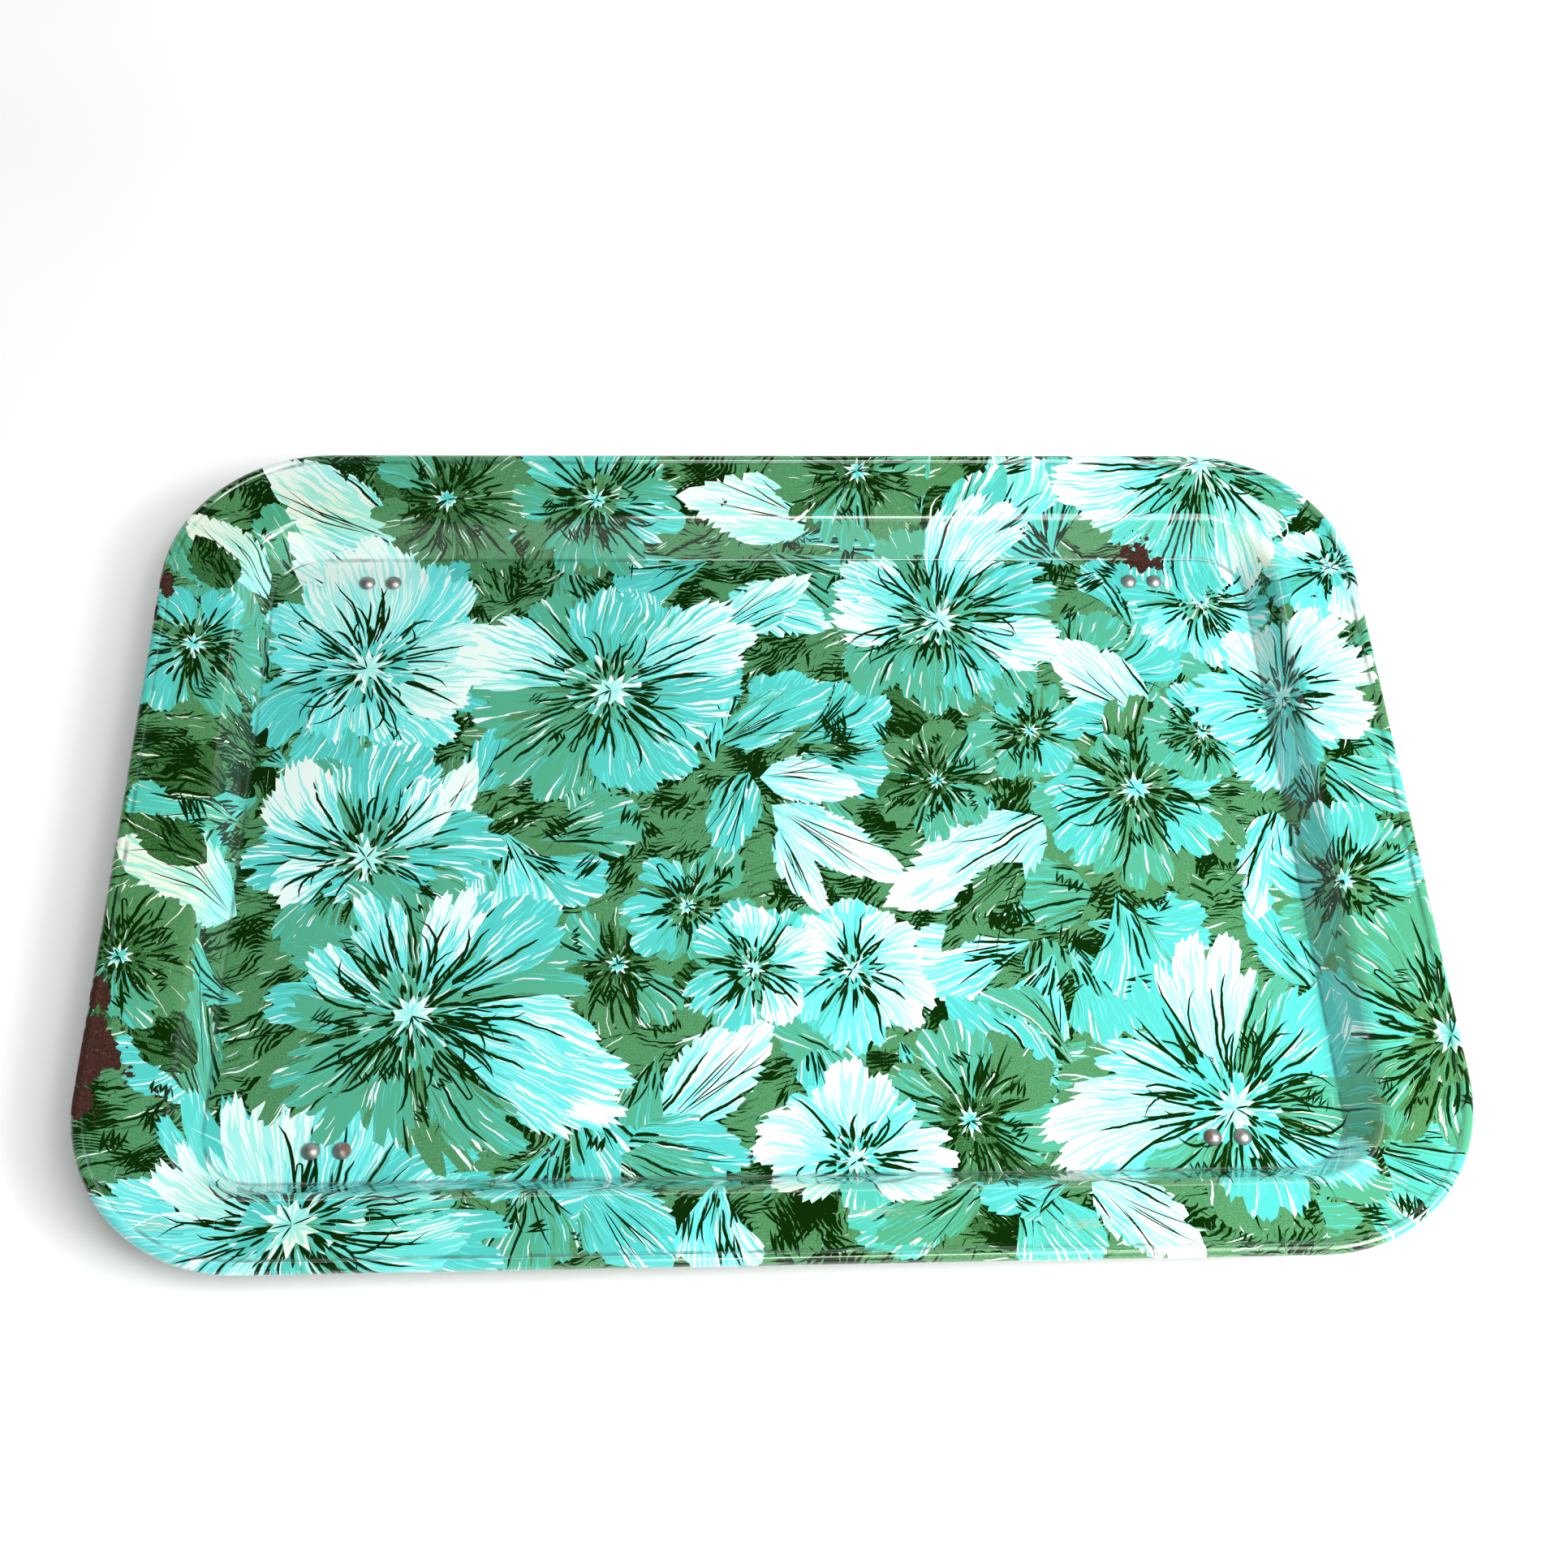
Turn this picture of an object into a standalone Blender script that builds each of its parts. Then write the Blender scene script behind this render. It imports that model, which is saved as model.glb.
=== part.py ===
"""Lap tray of thin printed sheet steel with two folding wire legs.

The pressed pan has a flat well, a steep wall, a broad sloping border and a
rolled rim. Under each corner of the well a hat-shaped clip, held by a pair of
domed rivets, carries the in-turned end of a wire leg. Both legs lie folded
under the pan; each swings down about an axis along Y until its uprights meet
the stop tabs of its clips.

Lengths in this file are millimetres until they reach Blender, which takes
metres. X runs along the tray, Y from front to back, Z up. The origin is on
the surface the folded tray stands on, under the middle of the tray.
"""

import math

import bmesh
import bpy

MM = 0.001

# Pan, seen from above
TRAY_LENGTH = 444.5          # over the rolled rim, 17 1/2 in
TRAY_WIDTH = 317.5           # 12 1/2 in
RIM_CORNER = 57.4            # outside corner radius
WELL_LENGTH = 369.3          # flat floor, edge to edge
WELL_WIDTH = 245.5
WELL_CORNER = 16.5
CORNER_STEPS = 10

# Pan, in section from the edge of the floor (0, 0) outward and up
SHEET = 0.5
BAND = 37.0                  # nominal width of everything outside the floor
CREASE_RADIUS = 2.0
WALL_ANGLE = 60.0
WALL_TOP = (8.3, 12.4)       # where the steep wall starts to roll over
SHOULDER_RADIUS = 7.0
BORDER_ANGLE = 14.6
BORDER_END = 31.8            # distance at which the border meets the rim bead
BEAD_RADIUS = 2.2
BEAD_HEIGHT = 19.7           # centre of the bead above the floor
BEAD_START = 145.0           # where the sheet runs onto the bead, degrees
BEAD_END = -118.0            # where its cut edge stops, short of the border

# Leg wire and the stack of parts under the floor
GAP = 0.3
WIRE_RADIUS = 1.8
CLIP_SHEET = 0.7
AXIS_HEIGHT = CLIP_SHEET + GAP + WIRE_RADIUS
PAN_UNDERSIDE = AXIS_HEIGHT + WIRE_RADIUS + GAP
FLOOR_TOP = PAN_UNDERSIDE + SHEET

# Clips and rivets
CLIP_X = 146.0               # hinge axis from the middle of the tray
CLIP_Y = 113.0
CLIP_WIDTH = 10.0
CLIP_HALF_LENGTH = 7.9
CHANNEL_HALF = WIRE_RADIUS + GAP + CLIP_SHEET / 2
CHANNEL_CORNER = 1.3
FLANGE_CORNER = 0.5
STOP_TAB = 5.0               # how far the outer wall runs on past the clip
STOP_TOE = 0.2               # height of the stop tab's far lower corner
RIVET_SPACING = 9.9
SHANK_RADIUS = 1.3
HOLE_RADIUS = SHANK_RADIUS + GAP
HEAD_RADIUS = 3.0
HEAD_HEIGHT = 1.9
RIVET_SIDES = 24
TAIL_RADIUS = 1.8
TAIL_HEIGHT = 0.9

# Wire legs
LEG_LENGTH = 140.0           # hinge axis to the middle of the foot bar
STUB_END = CLIP_Y - CLIP_WIDTH / 2 - 1.4
STUB_TO_BEND = CLIP_Y + CLIP_WIDTH / 2 + 0.6
HINGE_BEND = 3.6
FOOT_BEND = 13.0
BEND_STEPS = 6

TURQUOISE = (0.16, 0.60, 0.55)
PLATED_STEEL = (0.60, 0.59, 0.56)
RIVET_STEEL = (0.66, 0.64, 0.61)


def clear_scene():
    for obj in list(bpy.data.objects):
        bpy.data.objects.remove(obj, do_unlink=True)


def make_material(name, color, roughness, metallic):
    material = bpy.data.materials.new(name)
    material.use_nodes = True
    shader = material.node_tree.nodes["Principled BSDF"]
    shader.inputs["Base Color"].default_value = (*color, 1.0)
    shader.inputs["Roughness"].default_value = roughness
    shader.inputs["Metallic"].default_value = metallic
    return material


def make_object(name, verts, faces, material, sharp_angle=35.0):
    """A mesh object from points in millimetres, shaded smooth."""
    mesh = bpy.data.meshes.new(name)
    mesh.from_pydata([(x * MM, y * MM, z * MM) for x, y, z in verts], [], faces)
    mesh.validate()
    work = bmesh.new()
    work.from_mesh(mesh)
    bmesh.ops.recalc_face_normals(work, faces=work.faces)
    work.to_mesh(mesh)
    work.free()
    mesh.materials.append(material)
    mesh.shade_smooth()
    mesh.set_sharp_from_angle(angle=math.radians(sharp_angle))
    obj = bpy.data.objects.new(name, mesh)
    bpy.context.collection.objects.link(obj)
    return obj


def drill(obj, centres, radius, low, high):
    """Cut vertical round holes through obj at the given (x, y) centres."""
    cutter_mesh = bpy.data.meshes.new(obj.name + "_holes")
    work = bmesh.new()
    for x, y in centres:
        made = bmesh.ops.create_cone(work, cap_ends=True, segments=16, radius1=radius * MM,
                                     radius2=radius * MM, depth=(high - low) * MM)
        offset = (x * MM, y * MM, (low + high) / 2 * MM)
        bmesh.ops.translate(work, verts=made["verts"], vec=offset)
    work.to_mesh(cutter_mesh)
    work.free()
    cutter = bpy.data.objects.new(obj.name + "_holes", cutter_mesh)
    cutter.hide_render = True
    cutter.display_type = "WIRE"
    bpy.context.collection.objects.link(cutter)
    cut = obj.modifiers.new("rivet_holes", "BOOLEAN")
    cut.operation = "DIFFERENCE"
    cut.solver = "EXACT"
    cut.object = cutter


def arc(centre, radius, start, end, steps):
    """Points of an arc, end points included, angles in degrees."""
    points = []
    for i in range(steps + 1):
        angle = math.radians(start + (end - start) * i / steps)
        points.append((centre[0] + radius * math.cos(angle), centre[1] + radius * math.sin(angle)))
    return points


# ---------------------------------------------------------------- pan

def pan_section():
    """Upper surface of the sheet as (distance, height, direction in degrees)."""
    section = [(0.0, 0.0, 0.0)]
    crease = arc((0.0, CREASE_RADIUS), CREASE_RADIUS, -90.0, WALL_ANGLE - 90.0, 3)[1:]
    for i, (d, z) in enumerate(crease, start=1):
        section.append((d, z, WALL_ANGLE * i / 3))
    wall_top = math.radians(WALL_ANGLE)
    centre = (WALL_TOP[0] + SHOULDER_RADIUS * math.sin(wall_top),
              WALL_TOP[1] - SHOULDER_RADIUS * math.cos(wall_top))
    shoulder = arc(centre, SHOULDER_RADIUS, 90.0 + WALL_ANGLE, 90.0 + BORDER_ANGLE, 4)
    for i, (d, z) in enumerate(shoulder):
        section.append((d, z, WALL_ANGLE + (BORDER_ANGLE - WALL_ANGLE) * i / 4))
    d, z, _ = section[-1]
    border_rise = (BORDER_END - d) * math.tan(math.radians(BORDER_ANGLE))
    bead_direction = BEAD_START - 90.0
    section.append((BORDER_END, z + border_rise, (BORDER_ANGLE + bead_direction) / 2))
    bead_centre = (BAND - BEAD_RADIUS, BEAD_HEIGHT)
    steps = 10
    for i, (d, z) in enumerate(arc(bead_centre, BEAD_RADIUS, BEAD_START, BEAD_END, steps)):
        turned = BEAD_START + (BEAD_END - BEAD_START) * i / steps
        section.append((d, z, turned - 90.0))
    return section


def pan_ring(distance, height):
    """The rounded rectangle that a section point sweeps, as 3-D points."""
    share = distance / BAND
    half_x = (WELL_LENGTH + (TRAY_LENGTH - WELL_LENGTH) * share) / 2
    half_y = (WELL_WIDTH + (TRAY_WIDTH - WELL_WIDTH) * share) / 2
    radius = WELL_CORNER + (RIM_CORNER - WELL_CORNER) * share
    points = []
    for sign_x, sign_y, start in ((1, 1, 0.0), (-1, 1, 90.0), (-1, -1, 180.0), (1, -1, 270.0)):
        centre = (sign_x * (half_x - radius), sign_y * (half_y - radius))
        for x, y in arc(centre, radius, start, start + 90.0, CORNER_STEPS):
            points.append((x, y, FLOOR_TOP + height))
    return points


def build_pan(material):
    section = pan_section()
    outline = [(d, z) for d, z, _ in section]
    for d, z, direction in reversed(section):
        angle = math.radians(direction)
        outline.append((d + SHEET * math.sin(angle), z - SHEET * math.cos(angle)))
    verts = []
    for d, z in outline:
        verts.extend(pan_ring(d, z))
    count = 4 * (CORNER_STEPS + 1)
    faces = []
    for row in range(len(outline) - 1):
        for i in range(count):
            j = (i + 1) % count
            low = row * count
            high = low + count
            faces.append((low + i, low + j, high + j, high + i))
    last = (len(outline) - 1) * count
    faces.append(tuple(range(count)))
    faces.append(tuple(range(last, last + count)))
    pan = make_object("tray_pan", verts, faces, material)
    drill(pan, rivet_places(), HOLE_RADIUS, PAN_UNDERSIDE - 1.0, FLOOR_TOP + 1.0)


# ---------------------------------------------------------------- rivets

def rivet_places():
    places = []
    for sign_x, sign_y in ((-1, -1), (1, -1), (-1, 1), (1, 1)):
        for side in (-1, 1):
            places.append((sign_x * CLIP_X + side * RIVET_SPACING / 2, sign_y * CLIP_Y))
    return places


def rivet_mesh(material):
    """One rivet turned about its own axis, head up, origin on the floor's top."""
    dome = (HEAD_RADIUS ** 2 + HEAD_HEIGHT ** 2) / (2 * HEAD_HEIGHT)
    half_angle = math.degrees(math.asin(HEAD_RADIUS / dome))
    head_base = GAP
    tail_top = PAN_UNDERSIDE - FLOOR_TOP - GAP - CLIP_SHEET - GAP
    profile = arc((0.0, head_base + HEAD_HEIGHT - dome), dome, 90.0, 90.0 - half_angle, 5)
    profile.append((SHANK_RADIUS, head_base))
    profile.append((SHANK_RADIUS, tail_top))
    profile.append((TAIL_RADIUS, tail_top))
    profile.append((TAIL_RADIUS * 0.85, tail_top - TAIL_HEIGHT))
    sides = RIVET_SIDES
    verts = [(0.0, 0.0, profile[0][1])]
    for r, z in profile[1:]:
        for i in range(sides):
            angle = math.tau * i / sides
            verts.append((r * math.cos(angle), r * math.sin(angle), z))
    faces = [(0, 1 + i, 1 + (i + 1) % sides) for i in range(sides)]
    for row in range(len(profile) - 2):
        for i in range(sides):
            j = (i + 1) % sides
            low = 1 + row * sides
            high = low + sides
            faces.append((low + i, high + i, high + j, low + j))
    faces.append(tuple(range(len(verts) - sides, len(verts))))
    return make_object("rivet_front_left_outer", verts, faces, material)


def build_rivets(material):
    names = []
    for end in ("front_left", "front_right", "back_left", "back_right"):
        order = ("outer", "inner") if end.endswith("left") else ("inner", "outer")
        names.extend("rivet_%s_%s" % (end, place) for place in order)
    first = rivet_mesh(material)
    for name, (x, y) in zip(names, rivet_places()):
        rivet = first if name == first.name else bpy.data.objects.new(name, first.data)
        if rivet is not first:
            bpy.context.collection.objects.link(rivet)
        rivet.location = (x * MM, y * MM, FLOOR_TOP * MM)


# ---------------------------------------------------------------- clips

def rounded_path(corners, radii, steps):
    """A polyline in a plane with each inner corner turned into an arc."""
    path = [(corners[0], heading(corners[0], corners[1]))]
    for before, corner, after, radius in zip(corners, corners[1:], corners[2:], radii):
        come = heading(before, corner)
        go = heading(corner, after)
        turn = (go - come + math.pi) % math.tau - math.pi
        back = radius * math.tan(abs(turn) / 2)
        start = (corner[0] - back * math.cos(come), corner[1] - back * math.sin(come))
        side = math.copysign(1.0, turn)
        centre = (start[0] - side * radius * math.sin(come), start[1] + side * radius * math.cos(come))
        for i in range(steps + 1):
            angle = come + turn * i / steps
            path.append(((centre[0] + side * radius * math.sin(angle),
                          centre[1] - side * radius * math.cos(angle)), angle))
    path.append((corners[-1], heading(corners[-2], corners[-1])))
    return path


def heading(start, end):
    return math.atan2(end[1] - start[1], end[0] - start[0])


def build_clip(name, sign_x, sign_y, material):
    """Hat-section strap across the wire; its outer wall runs on as a stop tab."""
    flange = AXIS_HEIGHT + WIRE_RADIUS - CLIP_SHEET / 2
    floor = CLIP_SHEET / 2
    corners = [(-CLIP_HALF_LENGTH, flange), (-CHANNEL_HALF, flange), (-CHANNEL_HALF, floor),
               (CHANNEL_HALF, floor), (CHANNEL_HALF, flange), (CLIP_HALF_LENGTH, flange)]
    radii = (FLANGE_CORNER, CHANNEL_CORNER, CHANNEL_CORNER, FLANGE_CORNER)
    path = rounded_path(corners, radii, 4)
    tab_start = len(path) - 7          # foot of the outer wall, above its lower bend
    levels = (-CLIP_WIDTH / 2, CLIP_WIDTH / 2, CLIP_WIDTH / 2 + STOP_TAB)
    verts = []
    index = {}
    for level, y in enumerate(levels):
        for i, ((x, z), angle) in enumerate(path):
            if level == 2 and i < tab_start:
                continue
            if level == 2 and i == tab_start:
                z = STOP_TOE
            for side in (0, 1):
                push = CLIP_SHEET * (side - 0.5)
                index[level, i, side] = len(verts)
                verts.append((sign_x * (CLIP_X + x - push * math.sin(angle)),
                              sign_y * (CLIP_Y + y), z + push * math.cos(angle)))
    faces = []
    last = len(path) - 1
    for level, first in ((0, 0), (1, tab_start)):
        for i in range(first, last):
            for side in (0, 1):
                faces.append([index[level, i, side], index[level, i + 1, side],
                              index[level + 1, i + 1, side], index[level + 1, i, side]])
        for i in (first, last):
            faces.append([index[level, i, 0], index[level, i, 1],
                          index[level + 1, i, 1], index[level + 1, i, 0]])
    for level, first, end in ((0, 0, last), (1, 0, tab_start), (2, tab_start, last)):
        for i in range(first, end):
            faces.append([index[level, i, 0], index[level, i, 1],
                          index[level, i + 1, 1], index[level, i + 1, 0]])
    clip = make_object(name, verts, faces, material)
    centres = [(sign_x * CLIP_X + side * RIVET_SPACING / 2, sign_y * CLIP_Y) for side in (-1, 1)]
    drill(clip, centres, HOLE_RADIUS, AXIS_HEIGHT, PAN_UNDERSIDE)


# ---------------------------------------------------------------- legs

def leg_route():
    """Half of a folded leg's centre line in its own frame, from stub to foot."""
    upright = STUB_TO_BEND + HINGE_BEND
    route = [(0.0, STUB_END)]
    route += arc((HINGE_BEND, STUB_TO_BEND), HINGE_BEND, 180.0, 90.0, BEND_STEPS)
    corner = (LEG_LENGTH - FOOT_BEND, upright - FOOT_BEND)
    route += arc(corner, FOOT_BEND, 90.0, 0.0, BEND_STEPS)
    return route


def build_leg(name, sign_x, material):
    """U of wire with in-turned ends; the object's origin is on the hinge axis."""
    half = leg_route()
    route = half + [(x, -y) for x, y in reversed(half)]
    curve = bpy.data.curves.new(name, "CURVE")
    curve.dimensions = "3D"
    curve.bevel_depth = WIRE_RADIUS * MM
    curve.bevel_resolution = 3
    curve.use_fill_caps = True
    spline = curve.splines.new("POLY")
    spline.points.add(len(route) - 1)
    for point, (x, y) in zip(spline.points, route):
        point.co = (-sign_x * x * MM, y * MM, 0.0, 1.0)
    spline.use_smooth = True
    curve.materials.append(material)
    leg = bpy.data.objects.new(name, curve)
    leg.location = (sign_x * CLIP_X * MM, 0.0, AXIS_HEIGHT * MM)
    bpy.context.collection.objects.link(leg)


# ---------------------------------------------------------------- assembly

def build():
    clear_scene()
    printed = make_material("printed_steel", TURQUOISE, 0.28, 0.0)
    plated = make_material("plated_steel", PLATED_STEEL, 0.38, 1.0)
    rivet_metal = make_material("rivet_steel", RIVET_STEEL, 0.25, 1.0)
    build_pan(printed)
    build_rivets(rivet_metal)
    for place_y, sign_y in (("front", -1), ("back", 1)):
        for place_x, sign_x in (("left", -1), ("right", 1)):
            build_clip("clip_%s_%s" % (place_y, place_x), sign_x, sign_y, plated)
    for place_x, sign_x in (("left", -1), ("right", 1)):
        build_leg("leg_" + place_x, sign_x, plated)


build()
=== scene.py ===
"""Looks of a lap tray pressed from printed sheet steel, on two wire legs.

The pan's printed skin is one closed mesh. The print is laid out flat, as the
sheet was printed, as many overlapping outlines: leaves, petals and strokes of
the pen. One triangulation cuts them along each other and along the pan's
bends, and each triangle takes the inks of the shape that lies on top there.
The sheet is then pressed: a point's distance from the floor's edge becomes
its distance along the pan's section. Print coordinates are millimetres.
"""

import random
from math import atan2, cos, dist, hypot, pi, radians, sin, sqrt, tau

import bpy
import numpy as np
from mathutils import Matrix, Vector
from mathutils.bvhtree import BVHTree
from mathutils.geometry import delaunay_2d_cdt


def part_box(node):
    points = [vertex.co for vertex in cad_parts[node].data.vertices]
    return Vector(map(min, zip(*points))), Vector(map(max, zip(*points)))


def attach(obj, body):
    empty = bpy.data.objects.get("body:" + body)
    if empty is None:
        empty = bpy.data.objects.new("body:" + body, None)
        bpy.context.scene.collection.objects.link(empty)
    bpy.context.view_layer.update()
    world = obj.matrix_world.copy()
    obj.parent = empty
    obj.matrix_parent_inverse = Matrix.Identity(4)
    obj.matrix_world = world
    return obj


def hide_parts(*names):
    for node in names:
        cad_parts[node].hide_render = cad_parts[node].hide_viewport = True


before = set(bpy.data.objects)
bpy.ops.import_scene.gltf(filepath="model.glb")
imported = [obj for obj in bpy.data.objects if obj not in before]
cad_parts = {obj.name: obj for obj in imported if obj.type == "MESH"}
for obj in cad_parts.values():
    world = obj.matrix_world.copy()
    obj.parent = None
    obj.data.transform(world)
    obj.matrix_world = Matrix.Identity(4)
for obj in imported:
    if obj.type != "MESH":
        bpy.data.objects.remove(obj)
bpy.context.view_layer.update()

MM = 0.001
pan_low, pan_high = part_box("tray_pan")

# Pan, seen from above, in millimetres
TRAY_LENGTH = (pan_high[0] - pan_low[0]) / MM
TRAY_WIDTH = (pan_high[1] - pan_low[1]) / MM
RIM_CORNER = 57.4
WELL_LENGTH = 369.3
WELL_WIDTH = 245.5
WELL_CORNER = 16.5

# Pan, in section
SHEET = 0.5
FLOOR_TOP = pan_low[2] / MM + SHEET
BAND = 37.0
CREASE_RADIUS = 2.0
WALL_ANGLE = radians(60.0)
WALL_TOP = (8.3, 12.4)
SHOULDER_RADIUS = 7.0
BORDER_ANGLE = radians(14.6)
FILLET = 1.2                 # where the border runs up onto the bead
BEAD_RADIUS = 2.2
BEAD_HEIGHT = 19.7
BEAD_END = radians(-118.0)
CORNER_STEPS = 20

# Inks, darkest first; a shape's ink is a place on this ladder
INKS = [(8, 42, 2), (36, 89, 36), (72, 134, 88), (84, 176, 144),
        (86, 205, 198), (108, 232, 230), (170, 246, 240), (238, 255, 252)]
OLIVE, DARK, GREEN, TEAL, SEA, AQUA, PALE, WHITE = range(8)
INK_STRENGTH = 0.72          # lets the lamp, not the ink, reach full white


# ---------------------------------------------------------------- points

def point_at(x, y, r, angle):
    return x + r * cos(angle), y + r * sin(angle)


def turned(x, y, direction, ahead, aside):
    """The point so far ahead of (x, y) and to its left, seen along a direction."""
    cosine = cos(direction)
    sine = sin(direction)
    return x + ahead * cosine - aside * sine, y + ahead * sine + aside * cosine


# ---------------------------------------------------------------- section

def pan_runs():
    """The section as runs of (length, curvature), from the floor's edge out."""
    start = (WALL_TOP[0] + SHOULDER_RADIUS * (sin(WALL_ANGLE) - sin(BORDER_ANGLE)),
             WALL_TOP[1] + SHOULDER_RADIUS * (cos(BORDER_ANGLE) - cos(WALL_ANGLE)))
    crease_end = (CREASE_RADIUS * sin(WALL_ANGLE), CREASE_RADIUS * (1 - cos(WALL_ANGLE)))
    along = (cos(BORDER_ANGLE), sin(BORDER_ANGLE))
    bead = (BAND - BEAD_RADIUS, BEAD_HEIGHT)
    gap = (start[0] - FILLET * along[1] - bead[0], start[1] + FILLET * along[0] - bead[1])
    half = gap[0] * along[0] + gap[1] * along[1]
    reach = -half - sqrt(half ** 2 - gap[0] ** 2 - gap[1] ** 2 + (BEAD_RADIUS + FILLET) ** 2)
    touch = atan2(gap[1] + reach * along[1], gap[0] + reach * along[0])
    return [(CREASE_RADIUS * WALL_ANGLE, 1 / CREASE_RADIUS),
            (dist(crease_end, WALL_TOP), 0.0),
            (SHOULDER_RADIUS * (WALL_ANGLE - BORDER_ANGLE), -1 / SHOULDER_RADIUS),
            (reach, 0.0),
            (FILLET * (touch - pi / 2 - BORDER_ANGLE), 1 / FILLET),
            (BEAD_RADIUS * (touch - BEAD_END), -1 / BEAD_RADIUS)]


RUNS = pan_runs()
RUN_STEPS = (5, 1, 7, 1, 3, 16)
SHEET_EDGE = sum(length for length, _ in RUNS)
CREASE = RUNS[0][0] / 2
GROOVE = sum(length for length, _ in RUNS[:4]) + RUNS[4][0] / 2


def run_end(place, length, curve):
    """Where a run of the section leads, from a distance out, height and direction."""
    out, height, turn = place
    bent = turn + curve * length
    if not curve:
        return out + length * np.cos(turn), height + length * np.sin(turn), bent
    return out + (np.sin(bent) - np.sin(turn)) / curve, height - (np.cos(bent) - np.cos(turn)) / curve, bent


def section_at(along):
    """Distance out, height and direction where the sheet has run that far."""
    found = np.zeros((3, len(along)))
    begin = 0.0
    place = (0.0, 0.0, 0.0)
    for length, curve in RUNS:
        reached = along >= begin
        found[:, reached] = run_end(place, np.clip(along[reached] - begin, 0.0, length), curve)
        place = run_end(place, length, curve)
        begin += length
    return found


def section_stops():
    """How far along the sheet each ring of vertices lies."""
    stops = [0.0]
    for (length, _), steps in zip(RUNS, RUN_STEPS):
        start = stops[-1]
        stops.extend(start + length * i / steps for i in range(1, steps + 1))
    return stops


# Rings round the floor: half sizes and corner radius, and their growth per mm
HALF_X, HALF_Y = WELL_LENGTH / 2, WELL_WIDTH / 2
GROW_X = (TRAY_LENGTH - WELL_LENGTH) / 2 / BAND
GROW_Y = (TRAY_WIDTH - WELL_WIDTH) / 2 / BAND
GROW_R = (RIM_CORNER - WELL_CORNER) / BAND


def corner_centre(s):
    return (HALF_X - WELL_CORNER + (GROW_X - GROW_R) * s, HALF_Y - WELL_CORNER + (GROW_Y - GROW_R) * s)


def ring(s):
    """The rounded rectangle at that distance round the floor, anticlockwise."""
    centre_x, centre_y = corner_centre(s)
    radius = WELL_CORNER + GROW_R * s
    points = []
    for sign_x, sign_y, start in ((1, 1, 0.0), (-1, 1, 0.25), (-1, -1, 0.5), (1, -1, 0.75)):
        for i in range(CORNER_STEPS + 1):
            angle = tau * (start + 0.25 * i / CORNER_STEPS)
            points.append(point_at(sign_x * centre_x, sign_y * centre_y, radius, angle))
    return points


def press(points):
    """Places, normals and distances out along the sheet for print coordinates, on the upper face."""
    u, v = np.abs(points[:, 0]), np.abs(points[:, 1])
    signs = np.where(points < 0, -1.0, 1.0)
    side_s = (u - HALF_X) / GROW_X
    end_s = (v - HALF_Y) / GROW_Y
    on_side = (side_s >= 0) & (v <= corner_centre(side_s)[1])
    on_end = (end_s >= 0) & (u <= corner_centre(end_s)[0])
    drift_x, drift_y = GROW_X - GROW_R, GROW_Y - GROW_R
    from_x, from_y = u - corner_centre(0.0)[0], v - corner_centre(0.0)[1]
    a = drift_x ** 2 + drift_y ** 2 - GROW_R ** 2
    b = -2 * (from_x * drift_x + from_y * drift_y + WELL_CORNER * GROW_R)
    c = from_x ** 2 + from_y ** 2 - WELL_CORNER ** 2
    corner_s = (-b - np.sqrt(np.maximum(b * b - 4 * a * c, 0.0))) / (2 * a)
    off_floor = np.hypot(np.maximum(from_x, 0.0), np.maximum(from_y, 0.0)) > WELL_CORNER
    on_corner = ~on_side & ~on_end & off_floor
    s = np.select([on_side, on_end, on_corner], [side_s, end_s, corner_s], 0.0)
    s = np.minimum(s, SHEET_EDGE)
    out, height, turn = section_at(s)
    flat_x, flat_y = corner_centre(s)
    bent_x, bent_y = corner_centre(out)
    angle = np.arctan2(v - flat_y, u - flat_x)
    radius = WELL_CORNER + GROW_R * out
    x = np.select([on_side, on_end, on_corner],
                  [HALF_X + GROW_X * out, u * bent_x / flat_x, bent_x + radius * np.cos(angle)], u)
    y = np.select([on_side, on_end, on_corner],
                  [v * bent_y / flat_y, HALF_Y + GROW_Y * out, bent_y + radius * np.sin(angle)], v)
    facing = np.select([on_side, on_end], [0.0, pi / 2], angle)
    places = np.stack([x * signs[:, 0], y * signs[:, 1], FLOOR_TOP + height], -1)
    normals = np.stack([-np.sin(turn) * np.cos(facing) * signs[:, 0],
                        -np.sin(turn) * np.sin(facing) * signs[:, 1], np.cos(turn)], -1)
    return places, normals, s


# ---------------------------------------------------------------- print

class Print:
    """Outlines on the flat sheet, later ones over earlier ones.

    Each outline carries a fan: the point its streaks run out from, and how
    they look. Fan values go to the shader as three numbers at a time:
    axis = centre x, centre y, direction; size = length, streaks per radian,
    seed; tone = ink, light, shade; mark = pen, bend, wear; form = half the
    angle it covers, which side is darker, hatching.
    """

    def __init__(self):
        self.outlines = []
        self.fans = []

    def add(self, outline, fan):
        area = sum(x0 * y1 - x1 * y0 for (x0, y0), (x1, y1) in zip(outline, outline[1:] + outline[:1]))
        self.outlines.append(outline if area > 0 else outline[::-1])
        self.fans.append(fan)


def make_fan(x, y, direction, length, streaks, seed, tone, bend=0.0, wear=0.0,
             spread=3.0, side=0.0, hatch=0.0):
    ink, light, shade, pen = tone
    return ((x, y, direction), (length, streaks, seed), (ink, light, shade), (pen, bend, wear),
            (spread, side, hatch))


def flat_fan(ink, wear=0.0):
    return make_fan(0.0, 0.0, 0.0, 1000.0, 0.0, 0.0, (ink, 0.0, 0.0, 0.0), 0.0, wear)


def from_polar(x, y, direction, length, bend, polar):
    """Polar points about (x, y) to print coordinates; the fan's bend included."""
    return [point_at(x, y, r, direction + angle + bend * (r / length) ** 2) for r, angle in polar]


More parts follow.
